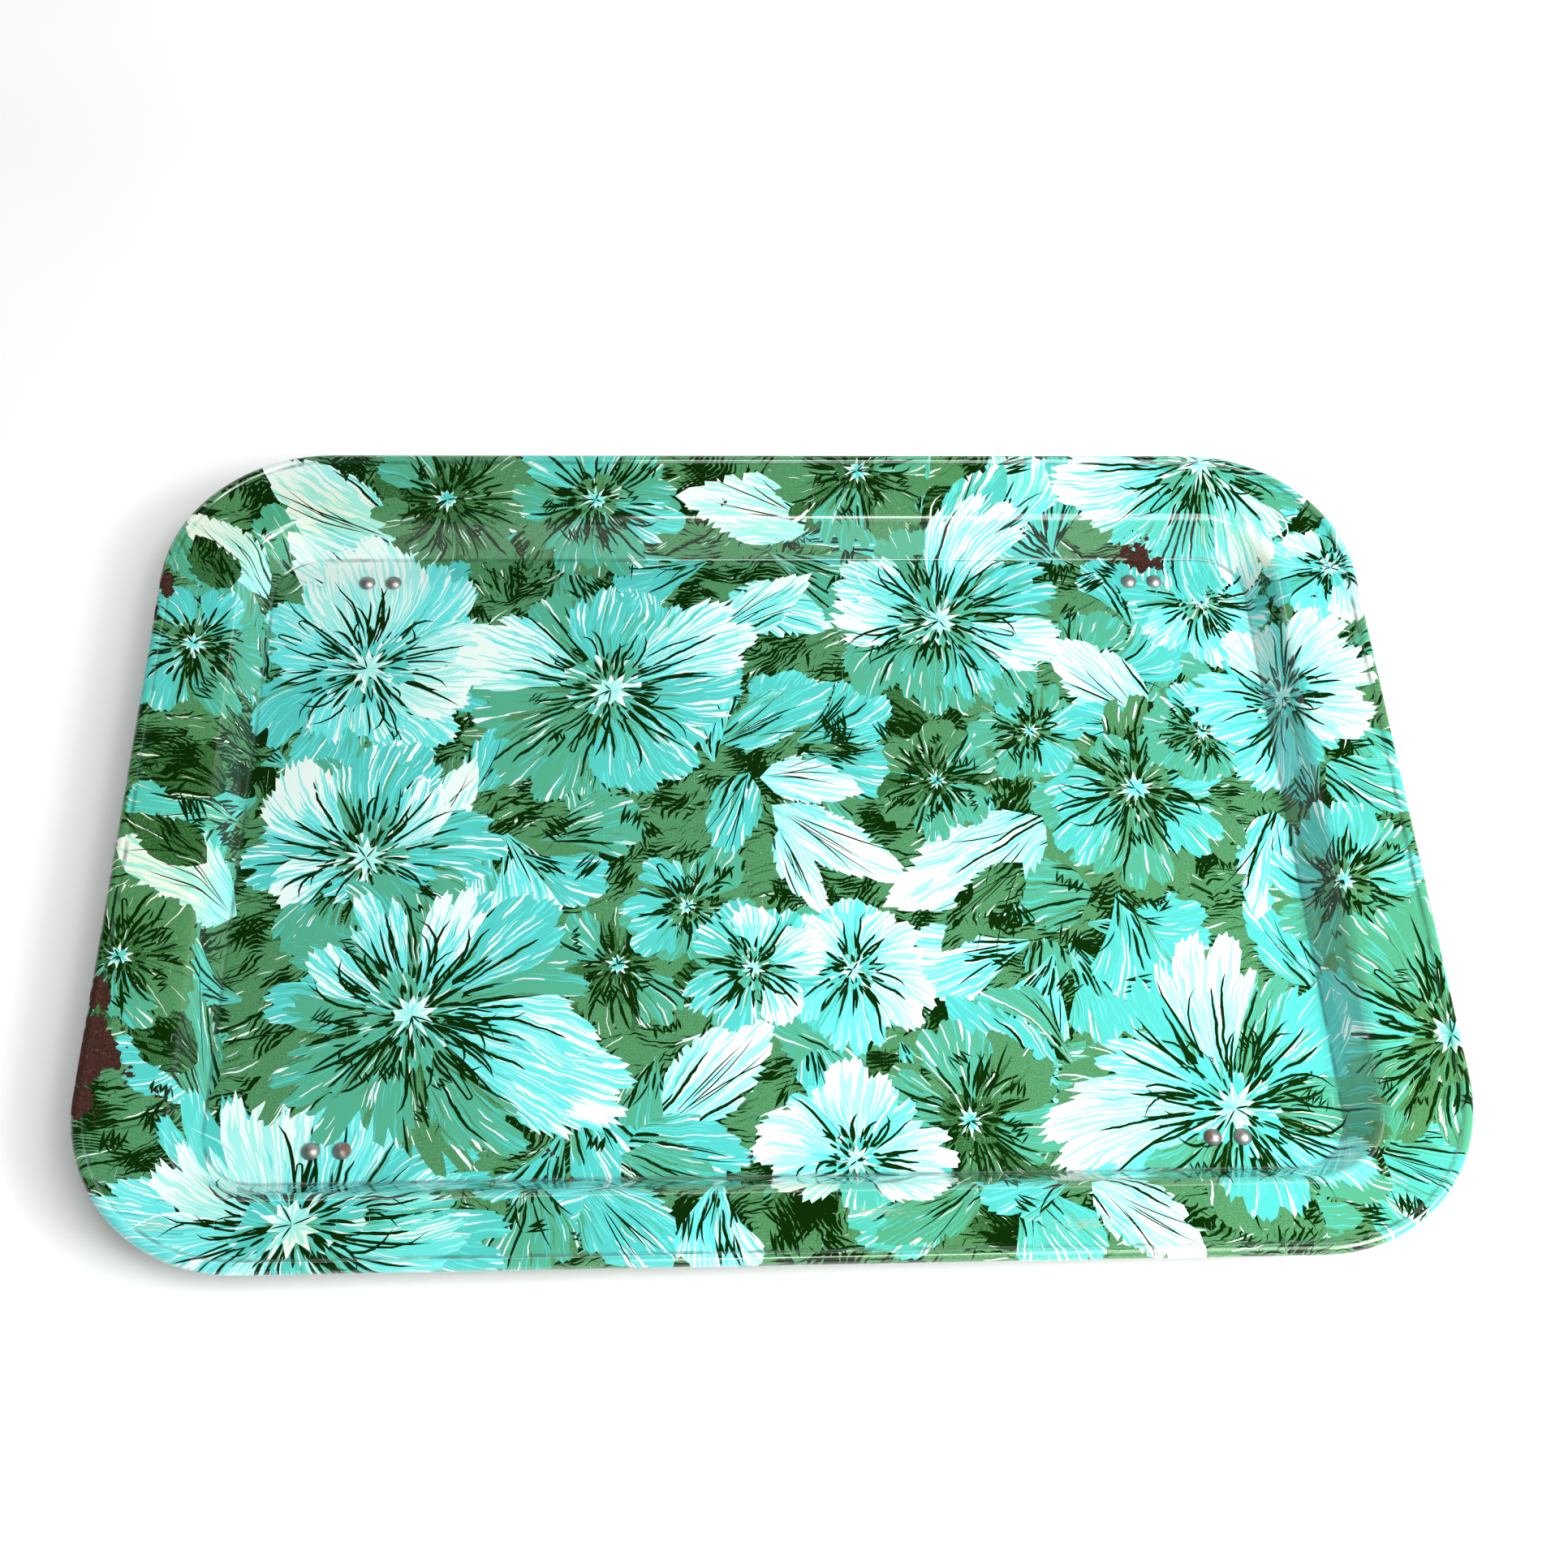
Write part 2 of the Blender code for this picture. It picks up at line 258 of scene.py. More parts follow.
def flare_at(share, spread):
    """Half the angle that a petal covers at that share of its length."""
    return spread * (0.55 + 0.45 * min(1.0, share / PETAL_SIDE[-1]) ** 0.8)


def petal(sheet, rng, x, y, direction, length, spread, tone, bend=0.0, start=0.06,
          ragged=0.07, blunt=0.24, lobes=3, cleft=0.12):
    """A petal that widens from (x, y) to a lobed, ragged tip."""
    polar = [(start * length, -0.5 * spread)]
    for share in PETAL_SIDE:
        polar.append((share * length, -flare_at(share, spread) * rng.uniform(0.93, 1.02)))
    teeth = max(3, round(2 * spread * length / TOOTH_PITCH))
    phase = rng.uniform(0.3, 0.7)
    for i in range(2 * teeth + 1):
        across = (i - teeth) / teeth
        valley = (0.5 + 0.5 * cos(pi * (across + phase) * lobes)) ** 5
        edge = 1 - blunt * abs(across) ** 2.4 - cleft * valley
        notch = ragged * rng.uniform(0.3, 1.4) if i % 2 else -0.5 * ragged * rng.random() ** 3
        jitter = rng.uniform(-0.35, 0.35) / teeth
        polar.append((length * (edge - notch), spread * (across + (jitter if 0 < i < 2 * teeth else 0))))
    for share in PETAL_SIDE[::-1]:
        polar.append((share * length, flare_at(share, spread) * rng.uniform(0.93, 1.02)))
    polar.append((start * length, 0.5 * spread))
    fan = make_fan(x, y, direction, length, length * STREAKS_PER_MM, rng.uniform(0, 500), tone, bend,
                   spread=spread, side=rng.choice((-1.0, 1.0)))
    sheet.add(from_polar(x, y, direction, length, bend, polar), fan)


def leaf(sheet, rng, start, end, width, tone, bend=0.0):
    """A pointed, feathery leaf between two points, its streaks nearly along it."""
    length = dist(start, end)
    direction = atan2(end[1] - start[1], end[0] - start[0])
    behind = 0.55 * length
    x, y = point_at(*start, -behind, direction)
    sides = []
    for sign in (-1, 1):
        side = []
        share = rng.uniform(0.08, 0.16)
        while share < 0.97:
            half = width / 2 * sin(pi * share ** 0.8) ** 0.8
            side.append((length * share, sign * half * rng.uniform(0.96, 1.03)))
            depth = LEAF_NOTCH * rng.random() ** 1.6 * min(1.0, 0.3 + share)
            back = 0.3 * min(1.0, depth / 0.2)
            pitch = TOOTH_PITCH * rng.uniform(0.6, 1.9) / length
            side.append((length * (share + (0.15 - back) * pitch), sign * half * (1 - depth)))
            share += pitch
        sides.append(side)
    local = [(0.0, 0.0)] + sides[0] + [(length, 0.0)] + sides[1][::-1]
    reach = behind + length
    polar = [(hypot(behind + px, py), atan2(py, behind + px)) for px, py in local]
    fan = make_fan(x, y, direction, reach, reach * STREAKS_PER_MM, rng.uniform(0, 500), tone, bend,
                   spread=0.55 * width / reach, side=rng.choice((-1.0, 1.0)),
                   hatch=1.0 if tone[0] <= GREEN else 0.0)
    sheet.add(from_polar(x, y, direction, reach, bend, polar), fan)


def bezier(points, steps):
    p0, p1, p2, p3 = (np.array(p) for p in points)
    share = np.linspace(0, 1, steps + 1)[:, None]
    rest = 1 - share
    return rest ** 3 * p0 + 3 * rest ** 2 * share * p1 + 3 * rest * share ** 2 * p2 + share ** 3 * p3


def stroke(sheet, path, width, ink=OLIVE):
    """A pen or brush stroke along a path, pointed at both ends."""
    along = np.gradient(path, axis=0)
    along /= np.maximum(np.linalg.norm(along, axis=1, keepdims=True), 1e-9)
    across = np.stack([-along[:, 1], along[:, 0]], -1)
    share = np.linspace(0, 1, len(path))[1:-1, None]
    half = width / 2 * np.sin(np.pi * share ** 0.8) ** 0.6
    left = path[1:-1] + across[1:-1] * half
    right = path[1:-1] - across[1:-1] * half
    outline = [path[0], *left, path[-1], *right[::-1]]
    sheet.add([(float(px), float(py)) for px, py in outline], flat_fan(ink))


def flick(sheet, rng, x, y, direction, near, far, width, curl, ink=OLIVE, hook=0.0):
    """One stroke flung outward from (x, y), swinging sideways as it goes."""
    reach = far - near
    lean = curl * rng.uniform(-1, 1)
    points = []
    for r, swing in ((near, 0.0), (near + 0.35 * reach, lean * 0.2), (near + 0.7 * reach, lean * 0.5),
                     (far - hook * reach, lean + hook * rng.choice((-1.6, 1.6)))):
        points.append(point_at(x, y, r, direction + swing))
    stroke(sheet, bezier(points, 5), width, ink)


def loop(sheet, rng, x, y, direction, near, far):
    """A long narrow loop of the pen: out along a petal, round, and part of the way back."""
    side = rng.choice((-1, 1))
    gap = rng.uniform(1.2, 2.2)
    back = far - (far - near) * rng.uniform(0.25, 0.6)
    swing = rng.uniform(-0.15, 0.15)
    local = []
    for share in (0.0, 0.3, 0.6, 0.85):
        r = near + (far - near) * share
        local.append((r, swing * r * share))
    tilt = swing * far
    for turn in (-60, 0, 60):
        bent = radians(turn)
        local.append((far + gap / 2 * cos(bent), tilt + side * gap / 2 * (1 + sin(bent))))
    for share in (0.25, 0.6, 1.0):
        r = far + (back - far) * share
        local.append((r, tilt * (r / far) + side * gap * (1 + 0.3 * share)))
    stroke(sheet, np.array([turned(x, y, direction, a, b) for a, b in local]), LOOP_WIDTH)


def side_line(sheet, rng, x, y, direction, length, spread, bend):
    """A pen line along one side of a petal, nearly to its tip."""
    side = rng.choice((-1, 1))
    far = rng.uniform(0.65, 0.92)
    polar = []
    for i in range(6):
        share = 0.2 + (far - 0.2) * i / 5
        polar.append((share * length, side * flare_at(share, spread) * rng.uniform(0.94, 1.0)))
    stroke(sheet, np.array(from_polar(x, y, direction, length, bend, polar)), rng.uniform(0.8, 1.2))


def scribble(sheet, rng, x, y, direction, size, legs, width):
    """A zigzag of pen strokes, the way gaps between leaves are filled in."""
    previous = None
    for i in range(legs + 1):
        a = (size if i % 2 else -size) * rng.uniform(0.5, 1.0)
        b = (i - legs / 2) * rng.uniform(0.7, 1.3) * SCRIBBLE_PITCH
        point = turned(x, y, direction, a, b)
        if previous:
            mid = [(p + q) / 2 + rng.uniform(-0.35, 0.35) for p, q in zip(previous, point)]
            stroke(sheet, bezier([previous, mid, mid, point], 3), width * rng.uniform(0.6, 1.3))
        previous = point


def darker(tone, steps=1, pen=0.0):
    ink, light, shade, line = tone
    return (max(DARK, ink - steps), light * 0.35, min(1.3, shade + 0.3), min(1.0, line + pen))


def bloom(sheet, rng, x, y, radius, petals, turn, tone, dim, lengths):
    """A flower of two rings of petals, with pen work from its centre.

    Petals that point towards dim, in degrees, lie in shade; lengths scales
    the front petals one by one. Either may be None.
    """
    spacing = tau / petals
    first = radians(turn)
    tones = tone if isinstance(tone[0], tuple) else (tone,)
    for front in (False, True):
        for i in rng.sample(range(petals), petals):
            direction = first + (i + (0.0 if front else 0.5)) * spacing + rng.uniform(-0.15, 0.15) * spacing
            length = radius * rng.uniform(0.86, 1.06) * (1.0 if front else 0.92)
            if lengths and front:
                length *= lengths[i % len(lengths)]
            look = tones[i % len(tones)] if front else darker(tones[(i * 2 + 1) % len(tones)])
            ragged = 0.018 + 0.032 * min(1.0, look[1])
            if dim is not None and cos(direction - radians(dim)) > 0.5:
                look = darker(look, 1, 0.2)
            elif rng.random() < 0.25:
                look = darker(look)
            bend = rng.uniform(-0.3, 0.3)
            spread = spacing * rng.uniform(0.42, 0.56)
            petal(sheet, rng, x, y, direction, length, spread, look, bend, ragged=ragged,
                  blunt=rng.uniform(0.24, 0.38), lobes=rng.choice((2, 3, 3, 4)),
                  cleft=rng.uniform(0.05, 0.2))
            for _ in range(rng.choice((0, 1, 1)) if look[1] > 0.5 else 0):
                flick(sheet, rng, x, y, direction + rng.uniform(-0.8, 0.8) * spread,
                      length * rng.uniform(0.5, 0.7), length * 0.95, 0.7, 0.15, WHITE, 0.08)
            if front and rng.random() < 0.8:
                side_line(sheet, rng, x, y, direction, length, spread, bend)
            if look[0] <= TEAL and length > 15:
                scribble(sheet, rng, *point_at(x, y, length * rng.uniform(0.35, 0.7), direction),
                         direction + rng.uniform(0.3, 0.9), rng.uniform(2, 5), rng.randint(4, 8), 0.8)
            for _ in range(max(1, round(radius / 12))):
                aim = direction + rng.uniform(-0.85, 0.85) * spread
                near = radius * rng.uniform(0.08, 0.3)
                far = min(length * 0.95, near + radius * rng.uniform(0.12, 0.5))
                width = rng.uniform(0.8, 1.3)
                if far - near > 12 and rng.random() < 0.08:
                    loop(sheet, rng, x, y, aim, near, far)
                else:
                    flick(sheet, rng, x, y, aim, near, far, width, 0.22, hook=rng.choice((0, 0.08, 0.15)))
    heart(sheet, rng, x, y, radius, tones[0])


def heart(sheet, rng, x, y, radius, tone):
    """The middle of a flower: small dark petals, a pale eye, short strokes round it."""
    ring_tone = darker(tone, 2, 0.3)
    for i in range(HEART_PETALS):
        aim = tau * (i + rng.uniform(-0.3, 0.3)) / HEART_PETALS
        length = radius * rng.uniform(0.2, 0.34)
        petal(sheet, rng, x, y, aim, length, 0.42, ring_tone, ragged=0.08, start=0.15)
    for _ in range(round(12 + 0.4 * radius)):
        aim = rng.uniform(0, tau)
        near = radius * rng.uniform(0.06, 0.2)
        flick(sheet, rng, x, y, aim, near, near + radius * rng.uniform(0.06, 0.2),
              rng.uniform(0.6, 1.5), 0.15)
    polar = []
    for i in range(EYE_POINTS):
        r = radius * (rng.uniform(0.1, 0.17) if i % 2 else rng.uniform(0.05, 0.09))
        polar.append((r, tau * i / EYE_POINTS))
    eye = (min(PALE, tone[0] + 1), 1.3, 0.2, 0.0)
    fan = make_fan(x, y, 0.0, radius * 0.13, 4.0, rng.uniform(0, 500), eye)
    sheet.add(from_polar(x, y, 0.0, radius, 0.0, polar), fan)
    for _ in range(4):
        flick(sheet, rng, x, y, rng.uniform(0, tau), 0.0, radius * rng.uniform(0.06, 0.14), 0.6, 0.1)


# How each kind of shape is inked: (ink, light, shade, pen)
SNOWY = (PALE, 1.15, 0.9, 0.4)
FROSTED = (AQUA, 1.2, 0.85, 0.6)
BRIGHT = (AQUA, 0.7, 0.9, 0.65)
CALM = (SEA, 0.3, 0.7, 0.7)
DEEP = (TEAL, 0.15, 0.8, 0.8)
SHADY = (GREEN, 0.0, 0.35, 0.7)
GLOOM = (DARK, 0.0, 0.8, 1.0)

SEED = 58
PETAL_SIDE = (0.3, 0.5, 0.68)
LEAF_NOTCH = 0.364
TOOTH_PITCH = 2.6
STREAKS_PER_MM = 0.5
SCRIBBLE_PITCH = 1.1
LOOP_WIDTH = 0.75
HEART_PETALS = 9
EYE_POINTS = 20
DIM_LEAVES = 140
SCRIBBLES = 165

# Leaves behind and between the flowers: start, end, width, tone
LEAVES = [
    ((-184, -28), (-232, -12), 34, SNOWY), ((-176, 40), (-224, 52), 34, SHADY),
    ((-190, 60), (-214, 104), 30, DEEP), ((-150, 104), (-176, 140), 26, SNOWY),
    ((-188, 104), (-226, 132), 26, SNOWY), ((-140, 132), (-198, 158), 32, SNOWY),
    ((-196, -60), (-232, -40), 28, CALM), ((-186, -96), (-214, -40), 30, DEEP),
    ((20, 138), (-30, 160), 30, SNOWY), ((70, 132), (96, 160), 24, CALM),
    ((-98, 104), (-112, 136), 22, SHADY), ((-14, 108), (26, 92), 26, BRIGHT),
    ((-22, 88), (22, 112), 22, BRIGHT), ((-18, 40), (26, 66), 22, CALM),
    ((-8, 28), (-24, -8), 20, CALM), ((-4, 26), (34, 28), 20, SNOWY),
    ((0, 14), (46, -22), 22, SNOWY), ((2, 4), (12, -34), 14, SNOWY),
    ((98, 8), (42, -34), 34, SNOWY), ((88, -10), (56, -44), 20, SHADY),
    ((140, 50), (104, 84), 30, SNOWY), ((138, 46), (108, 50), 18, CALM),
    ((-38, -106), (0, -66), 28, SNOWY), ((-50, -112), (-8, -118), 26, CALM),
    ((-52, -116), (-20, -138), 26, DEEP), ((-60, -100), (-84, -74), 20, CALM),
    ((92, -96), (56, -62), 26, CALM), ((110, -98), (84, -140), 26, SHADY),
    ((60, -140), (30, -166), 22, DEEP), ((96, -140), (132, -166), 26, SNOWY),
    ((-60, -140), (-36, -170), 30, CALM), ((186, -60), (168, -24), 22, CALM),
    ((182, 10), (170, -34), 24, BRIGHT), ((206, 20), (232, -8), 24, CALM),
    ((176, 130), (214, 152), 30, BRIGHT), ((196, -130), (228, -150), 28, CALM),
    ((-106, 20), (-92, 50), 20, CALM), ((-132, -12), (-98, 30), 22, SNOWY),
    ((-112, -104), (-96, -138), 20, SHADY), ((12, -80), (18, -98), 18, CALM),
    ((-196, 16), (-228, 28), 24, GLOOM), ((-200, -14), (-230, 0), 18, GLOOM),
    ((-192, -84), (-222, -76), 22, GLOOM), ((-206, 98), (-222, 122), 20, GLOOM),
]

# Flowers, back to front: x, y, radius, petals, turn, tone, shaded side, petal lengths
FLOWERS = [
    (-120, 148, 34, 6, 20, DEEP, 250, None), (36, 160, 34, 6, 10, DEEP, 90, None),
    (-216, 72, 32, 6, 0, CALM, 300, None), (-224, -52, 30, 6, 40, DEEP, 90, None),
    (60, 24, 26, 6, 30, DEEP, 200, None),
    (132, 20, 48, 7, 265, CALM, 90, (1, 0.8, 0.7, 0.6, 0.6, 0.7, 0.9)),
    (168, 104, 32, 7, 15, BRIGHT, 120, None), (222, 104, 30, 6, 50, SNOWY, 180, None),
    (204, -26, 32, 7, 0, CALM, 270, None), (170, 164, 62, 7, 200, FROSTED, 20, None),
    (228, -86, 56, 7, 10, CALM, 250, None), (62, -106, 36, 6, 40, DEEP, 270, None),
    (-54, -48, 28, 6, 20, DEEP, 240, None), (-30, -26, 26, 6, 50, CALM, 0, None),
    (-148, 74, 58, 7, 70, SNOWY, 210, (1, 0.9, 0.7, 0.6, 0.6, 0.7, 0.9)),
    (-142, -6, 52, 7, 95, FROSTED, 270, (1, 0.95, 0.75, 0.4, 0.3, 0.5, 0.8)),
    (96, 45, 24, 6, 0, CALM, 200, None), (160, 44, 24, 6, 25, CALM, 230, None),
    (-64, 148, 36, 7, 30, CALM, 230, None), (194, 54, 38, 7, 0, SNOWY, 200, None),
    (24, -119, 34, 5, 90, SNOWY, None, None),
    (150, -103, 66, 8, 95, (SNOWY, BRIGHT, SNOWY, CALM, BRIGHT, SNOWY, CALM, CALM), 330,
     (1.05, 0.8, 0.95, 0.7, 0.85, 0.95, 0.85, 0.9)),
    (-150, -151, 76, 8, 65, SNOWY, 330, (0.95, 1.0, 0.8, 0.6, 0.5, 0.6, 0.7, 0.85)),
    (66, 95, 54, 7, 85, (FROSTED, BRIGHT, FROSTED, CALM, BRIGHT, FROSTED, FROSTED), 250,
     (1.1, 0.9, 0.9, 0.7, 0.75, 0.95, 1.0)),
    (-122, -66, 62, 10, 5, (BRIGHT, CALM, FROSTED, BRIGHT, BRIGHT, CALM, CALM, CALM, CALM, BRIGHT), 245,
     (1.2, 1.0, 0.9, 0.85, 0.8, 0.75, 0.8, 0.85, 1.0, 1.25)),
    (-58, 64, 58, 6, 100, (FROSTED, FROSTED, CALM, BRIGHT, FROSTED, FROSTED), 220,
     (0.9, 1.0, 0.95, 0.85, 0.95, 1.05)),
    (26, -51, 30, 5, 50, SNOWY, 250, None), (-8, -50, 28, 6, 15, FROSTED, 200, None),
]

# Chips in the paint: x, y, size, sideways stretch
CHIPS = [
    (-228, 95, 7.0, 0.5), (-231, 84, 3.5, 0.5), (-228, -66, 7.0, 0.6), (-227, -86, 12.0, 0.7),
    (-229, -103, 8.0, 0.6), (-215, -92, 1.6, 1.0), (-206, -97, 1.1, 1.0), (146, 124, 7.5, 0.8),
    (153, 122, 4.0, 0.9), (140, 127, 3.0, 0.9), (-10, -117, 1.1, 1.2), (-74, -115, 1.0, 1.4),
    (-15, 147, 0.9, 1.0), (214, 92, 1.0, 1.0), (148, 132, 1.2, 1.0), (136, 123, 1.3, 1.0),
]

# Scuffed patches: x, y, half length, half width
SCUFFS = [(28, -150, 12.0, 3.0), (92, -156, 15.0, 3.0), (-196, -150, 9.0, 4.0)]

# Broad petals glimpsed between the flowers: base x, y, direction, length, half-angle
UNDER_PETALS = [
    (-100, 10, 250, 40, 0.5), (-96, 6, 300, 42, 0.5), (-84, 0, 20, 40, 0.5), (-90, -4, 330, 36, 0.45),
    (-20, 30, 100, 46, 0.5), (-10, 34, 60, 44, 0.5), (8, 40, 20, 42, 0.5), (10, 36, 340, 40, 0.45),
    (6, 30, 300, 40, 0.5), (90, -40, 200, 46, 0.5), (96, -44, 250, 44, 0.5), (100, -40, 300, 42, 0.5),
    (106, -34, 350, 46, 0.45), (120, -20, 280, 44, 0.5), (80, 20, 250, 36, 0.5), (84, 30, 200, 34, 0.5),
    (110, 60, 60, 44, 0.5), (120, 66, 20, 44, 0.45), (120, 120, 150, 46, 0.5), (112, 124, 90, 42, 0.5),
    (10, 130, 20, 46, 0.5), (0, 128, 330, 44, 0.5), (-20, 124, 200, 40, 0.5), (-96, 130, 150, 44, 0.5),
    (-92, 136, 200, 44, 0.5), (-86, 132, 60, 40, 0.5), (-170, 30, 150, 46, 0.5), (-180, 20, 210, 44, 0.5),
    (-186, 8, 190, 44, 0.5), (-200, -20, 250, 42, 0.5), (-176, -60, 170, 46, 0.5), (-180, -70, 220, 44, 0.5),
    (-70, -90, 300, 42, 0.5), (-64, -96, 340, 46, 0.5), (-70, -106, 250, 44, 0.5), (-30, -130, 200, 46, 0.5),
    (-20, -134, 260, 40, 0.5), (-80, -130, 280, 42, 0.5), (50, -134, 240, 40, 0.5), (70, -134, 300, 44, 0.5),
    (100, -130, 200, 44, 0.5), (104, -120, 150, 40, 0.5), (100, -90, 130, 44, 0.5), (190, -50, 100, 44, 0.5),
    (186, -44, 60, 40, 0.5), (180, -130, 300, 44, 0.5), (190, -120, 340, 46, 0.5), (214, 40, 300, 44, 0.5),
    (212, 60, 20, 44, 0.5), (200, 0, 100, 44, 0.5), (206, -4, 250, 40, 0.5), (-40, -80, 250, 30, 0.5),
    (40, -76, 290, 34, 0.5), (60, -70, 330, 36, 0.5), (-130, 120, 60, 40, 0.5), (-170, 110, 120, 40, 0.5),
    (60, 140, 100, 40, 0.5), (84, 130, 50, 42, 0.5), (140, 90, 100, 36, 0.5), (60, 50, 270, 36, 0.5),
]


def in_gap(x, y):
    """True where no flower's middle or leaf covers that point."""
    for fx, fy, radius, *_ in FLOWERS:
        if hypot(x - fx, y - fy) < 0.72 * radius:
            return False
    for start, end, width, _ in LEAVES:
        for share in (0.3, 0.55, 0.8):
            mx = start[0] + (end[0] - start[0]) * share
            my = start[1] + (end[1] - start[1]) * share
            if hypot(x - mx, y - my) < 0.4 * width:
                return False
    return True


def backdrop(sheet, rng):
    """The dark ground, with half-seen leaves and scribbled shadows."""
    reach_x = HALF_X + GROW_X * (SHEET_EDGE + 4)
    reach_y = HALF_Y + GROW_Y * (SHEET_EDGE + 4)
    ground = [(-reach_x, -reach_y), (reach_x, -reach_y), (reach_x, reach_y), (-reach_x, reach_y)]
    sheet.add(ground, make_fan(-900.0, -400.0, 0.4, 1500.0, 500.0, 3.0, SHADY, hatch=1.0))
    for _ in range(DIM_LEAVES):
        x, y = rng.uniform(-reach_x, reach_x) * 0.96, rng.uniform(-reach_y, reach_y) * 0.96
        direction = rng.uniform(0, tau)
        length = rng.uniform(20, 40)
        end = point_at(x, y, length, direction)
        if abs(end[0]) > reach_x - 2 or abs(end[1]) > reach_y - 2:
            continue
        tone = rng.choice((SHADY, SHADY, SHADY, DEEP, DEEP, GLOOM))
        leaf(sheet, rng, (x, y), end, length * rng.uniform(0.5, 0.8), tone)
    for x, y, direction, length, spread in UNDER_PETALS:
        tone = rng.choice((CALM, CALM, CALM, DEEP, BRIGHT))
        petal(sheet, rng, x, y, radians(direction), length, spread, tone, rng.uniform(-0.3, 0.3),
              ragged=0.025, lobes=rng.choice((2, 3)), cleft=0.08)
        for _ in range(4):
            near = length * rng.uniform(0.1, 0.4)
            flick(sheet, rng, x, y, radians(direction) + rng.uniform(-0.8, 0.8) * spread, near,
                  near + length * rng.uniform(0.2, 0.5), rng.uniform(0.4, 0.8), 0.25)
    placed = 0
    while placed < SCRIBBLES:
        x, y = rng.uniform(-reach_x, reach_x) * 0.93, rng.uniform(-reach_y, reach_y) * 0.93
        if in_gap(x, y):
            scribble(sheet, rng, x, y, rng.uniform(0, tau), rng.uniform(3, 8), rng.randint(4, 9), 1.0)
            placed += 1


def chip(sheet, rng, x, y, size, stretch):
    """A ragged patch where the print has gone, down to rusted steel, with specks round it."""
    blobs = [(0.0, 0.0, 0.8 * size)]
    for _ in range(round(size)):
        middle = point_at(0, 0, size * rng.uniform(0.4, 0.8), rng.uniform(0, tau))
        blobs.append((*middle, size * rng.uniform(0.15, 0.4)))
    for _ in range(round(2.5 * size)):
        middle = point_at(0, 0, size * rng.uniform(0.9, 1.7), rng.uniform(0, tau))
        blobs.append((*middle, rng.uniform(0.25, 0.8)))
    for off_x, off_y, reach in blobs:
        points = round(8 + 3 * reach)
        outline = []
        for i in range(points):
            px, py = point_at(off_x, off_y, reach * rng.uniform(0.55, 1.25), tau * i / points)
            outline.append((x + stretch * px, y + py))
        sheet.add(outline, flat_fan(OLIVE, 1.0))


def draw_print():
    rng = random.Random(SEED)
    sheet = Print()
    backdrop(sheet, rng)
    for start, end, width, tone in LEAVES:
        leaf(sheet, rng, start, end, width, tone, rng.uniform(-0.15, 0.15))
        direction = atan2(end[1] - start[1], end[0] - start[0])
        length = dist(start, end)
        for _ in range(5):
            flick(sheet, rng, *start, direction + rng.uniform(-0.3, 0.3), length * rng.uniform(0.02, 0.3),
                  length * rng.uniform(0.5, 0.95), rng.uniform(0.35, 0.6), 0.2)
    for x, y, radius, petals, turn, tone, dim, lengths in FLOWERS:
        bloom(sheet, rng, x, y, radius, petals, turn, tone, dim, lengths)
    for place in CHIPS:
        chip(sheet, rng, *place)
    return sheet


# ---------------------------------------------------------------- mesh of the pan

def lay_mosaic(sheet):
    """Triangles of the flat sheet, and for each the outline on top there."""
    points = []
    edges = []
    faces = []
    for outline in sheet.outlines:
        faces.append(list(range(len(points), len(points) + len(outline))))
        points.extend(outline)
    for stop in section_stops():
        first = len(points)
        around = ring(stop)
        points.extend(around)
        edges.extend((first + i, first + (i + 1) % len(around)) for i in range(len(around)))
    verts, cut_edges, triangles, _, sources, owners = delaunay_2d_cdt(
        [Vector(p) for p in points], edges, faces, 0, 1e-5)
    looks = {}
    look_of = [looks.setdefault(fan, i) for i, fan in enumerate(sheet.fans)]
    top = np.array([look_of[max(owner)] if owner else 0 for owner in owners])
    on_ring = {tuple(sorted(edge)) for edge, source in zip(cut_edges, sources)
               if source and min(source) < len(edges)}
    verts, triangles, top = drop_hidden_cuts(verts, np.array(triangles), top, on_ring)
    inside = distance_out(verts[triangles].mean(1)) < SHEET_EDGE
    return verts, triangles[inside], top[inside]


def drop_hidden_cuts(verts, triangles, top, on_ring):
    """The same mosaic without the cuts that part two pieces of one look."""
    sides = np.concatenate([triangles[:, [0, 1]], triangles[:, [1, 2]], triangles[:, [2, 0]]])
    keys, number = np.unique(np.sort(sides, 1), axis=0, return_inverse=True)
    number = number.reshape(-1)
    looks = np.tile(top, 3)
    lowest = np.full(len(keys), len(verts) + len(looks))
    highest = np.full(len(keys), -1)
    np.minimum.at(lowest, number, looks)
    np.maximum.at(highest, number, looks)
    kept = [tuple(map(int, key)) for key, low, high in zip(keys, lowest, highest)
            if low != high or tuple(key) in on_ring]
    used = sorted({i for edge in kept for i in edge})
    place = {old: new for new, old in enumerate(used)}
    finder = BVHTree.FromPolygons([(v.x, v.y, 0.0) for v in verts], triangles.tolist())
    verts, _, fewer, *_ = delaunay_2d_cdt([verts[i] for i in used],
                                          [(place[i], place[j]) for i, j in kept], [], 0, 1e-6)
    verts = np.array([tuple(v) for v in verts])
    fewer = np.array(fewer)
    down = Vector((0.0, 0.0, -1.0))
    found = [finder.ray_cast(Vector((x, y, 1.0)), down)[2] for x, y in verts[fewer].mean(1).tolist()]
    return verts, fewer, np.array([0 if hit is None else top[hit] for hit in found])


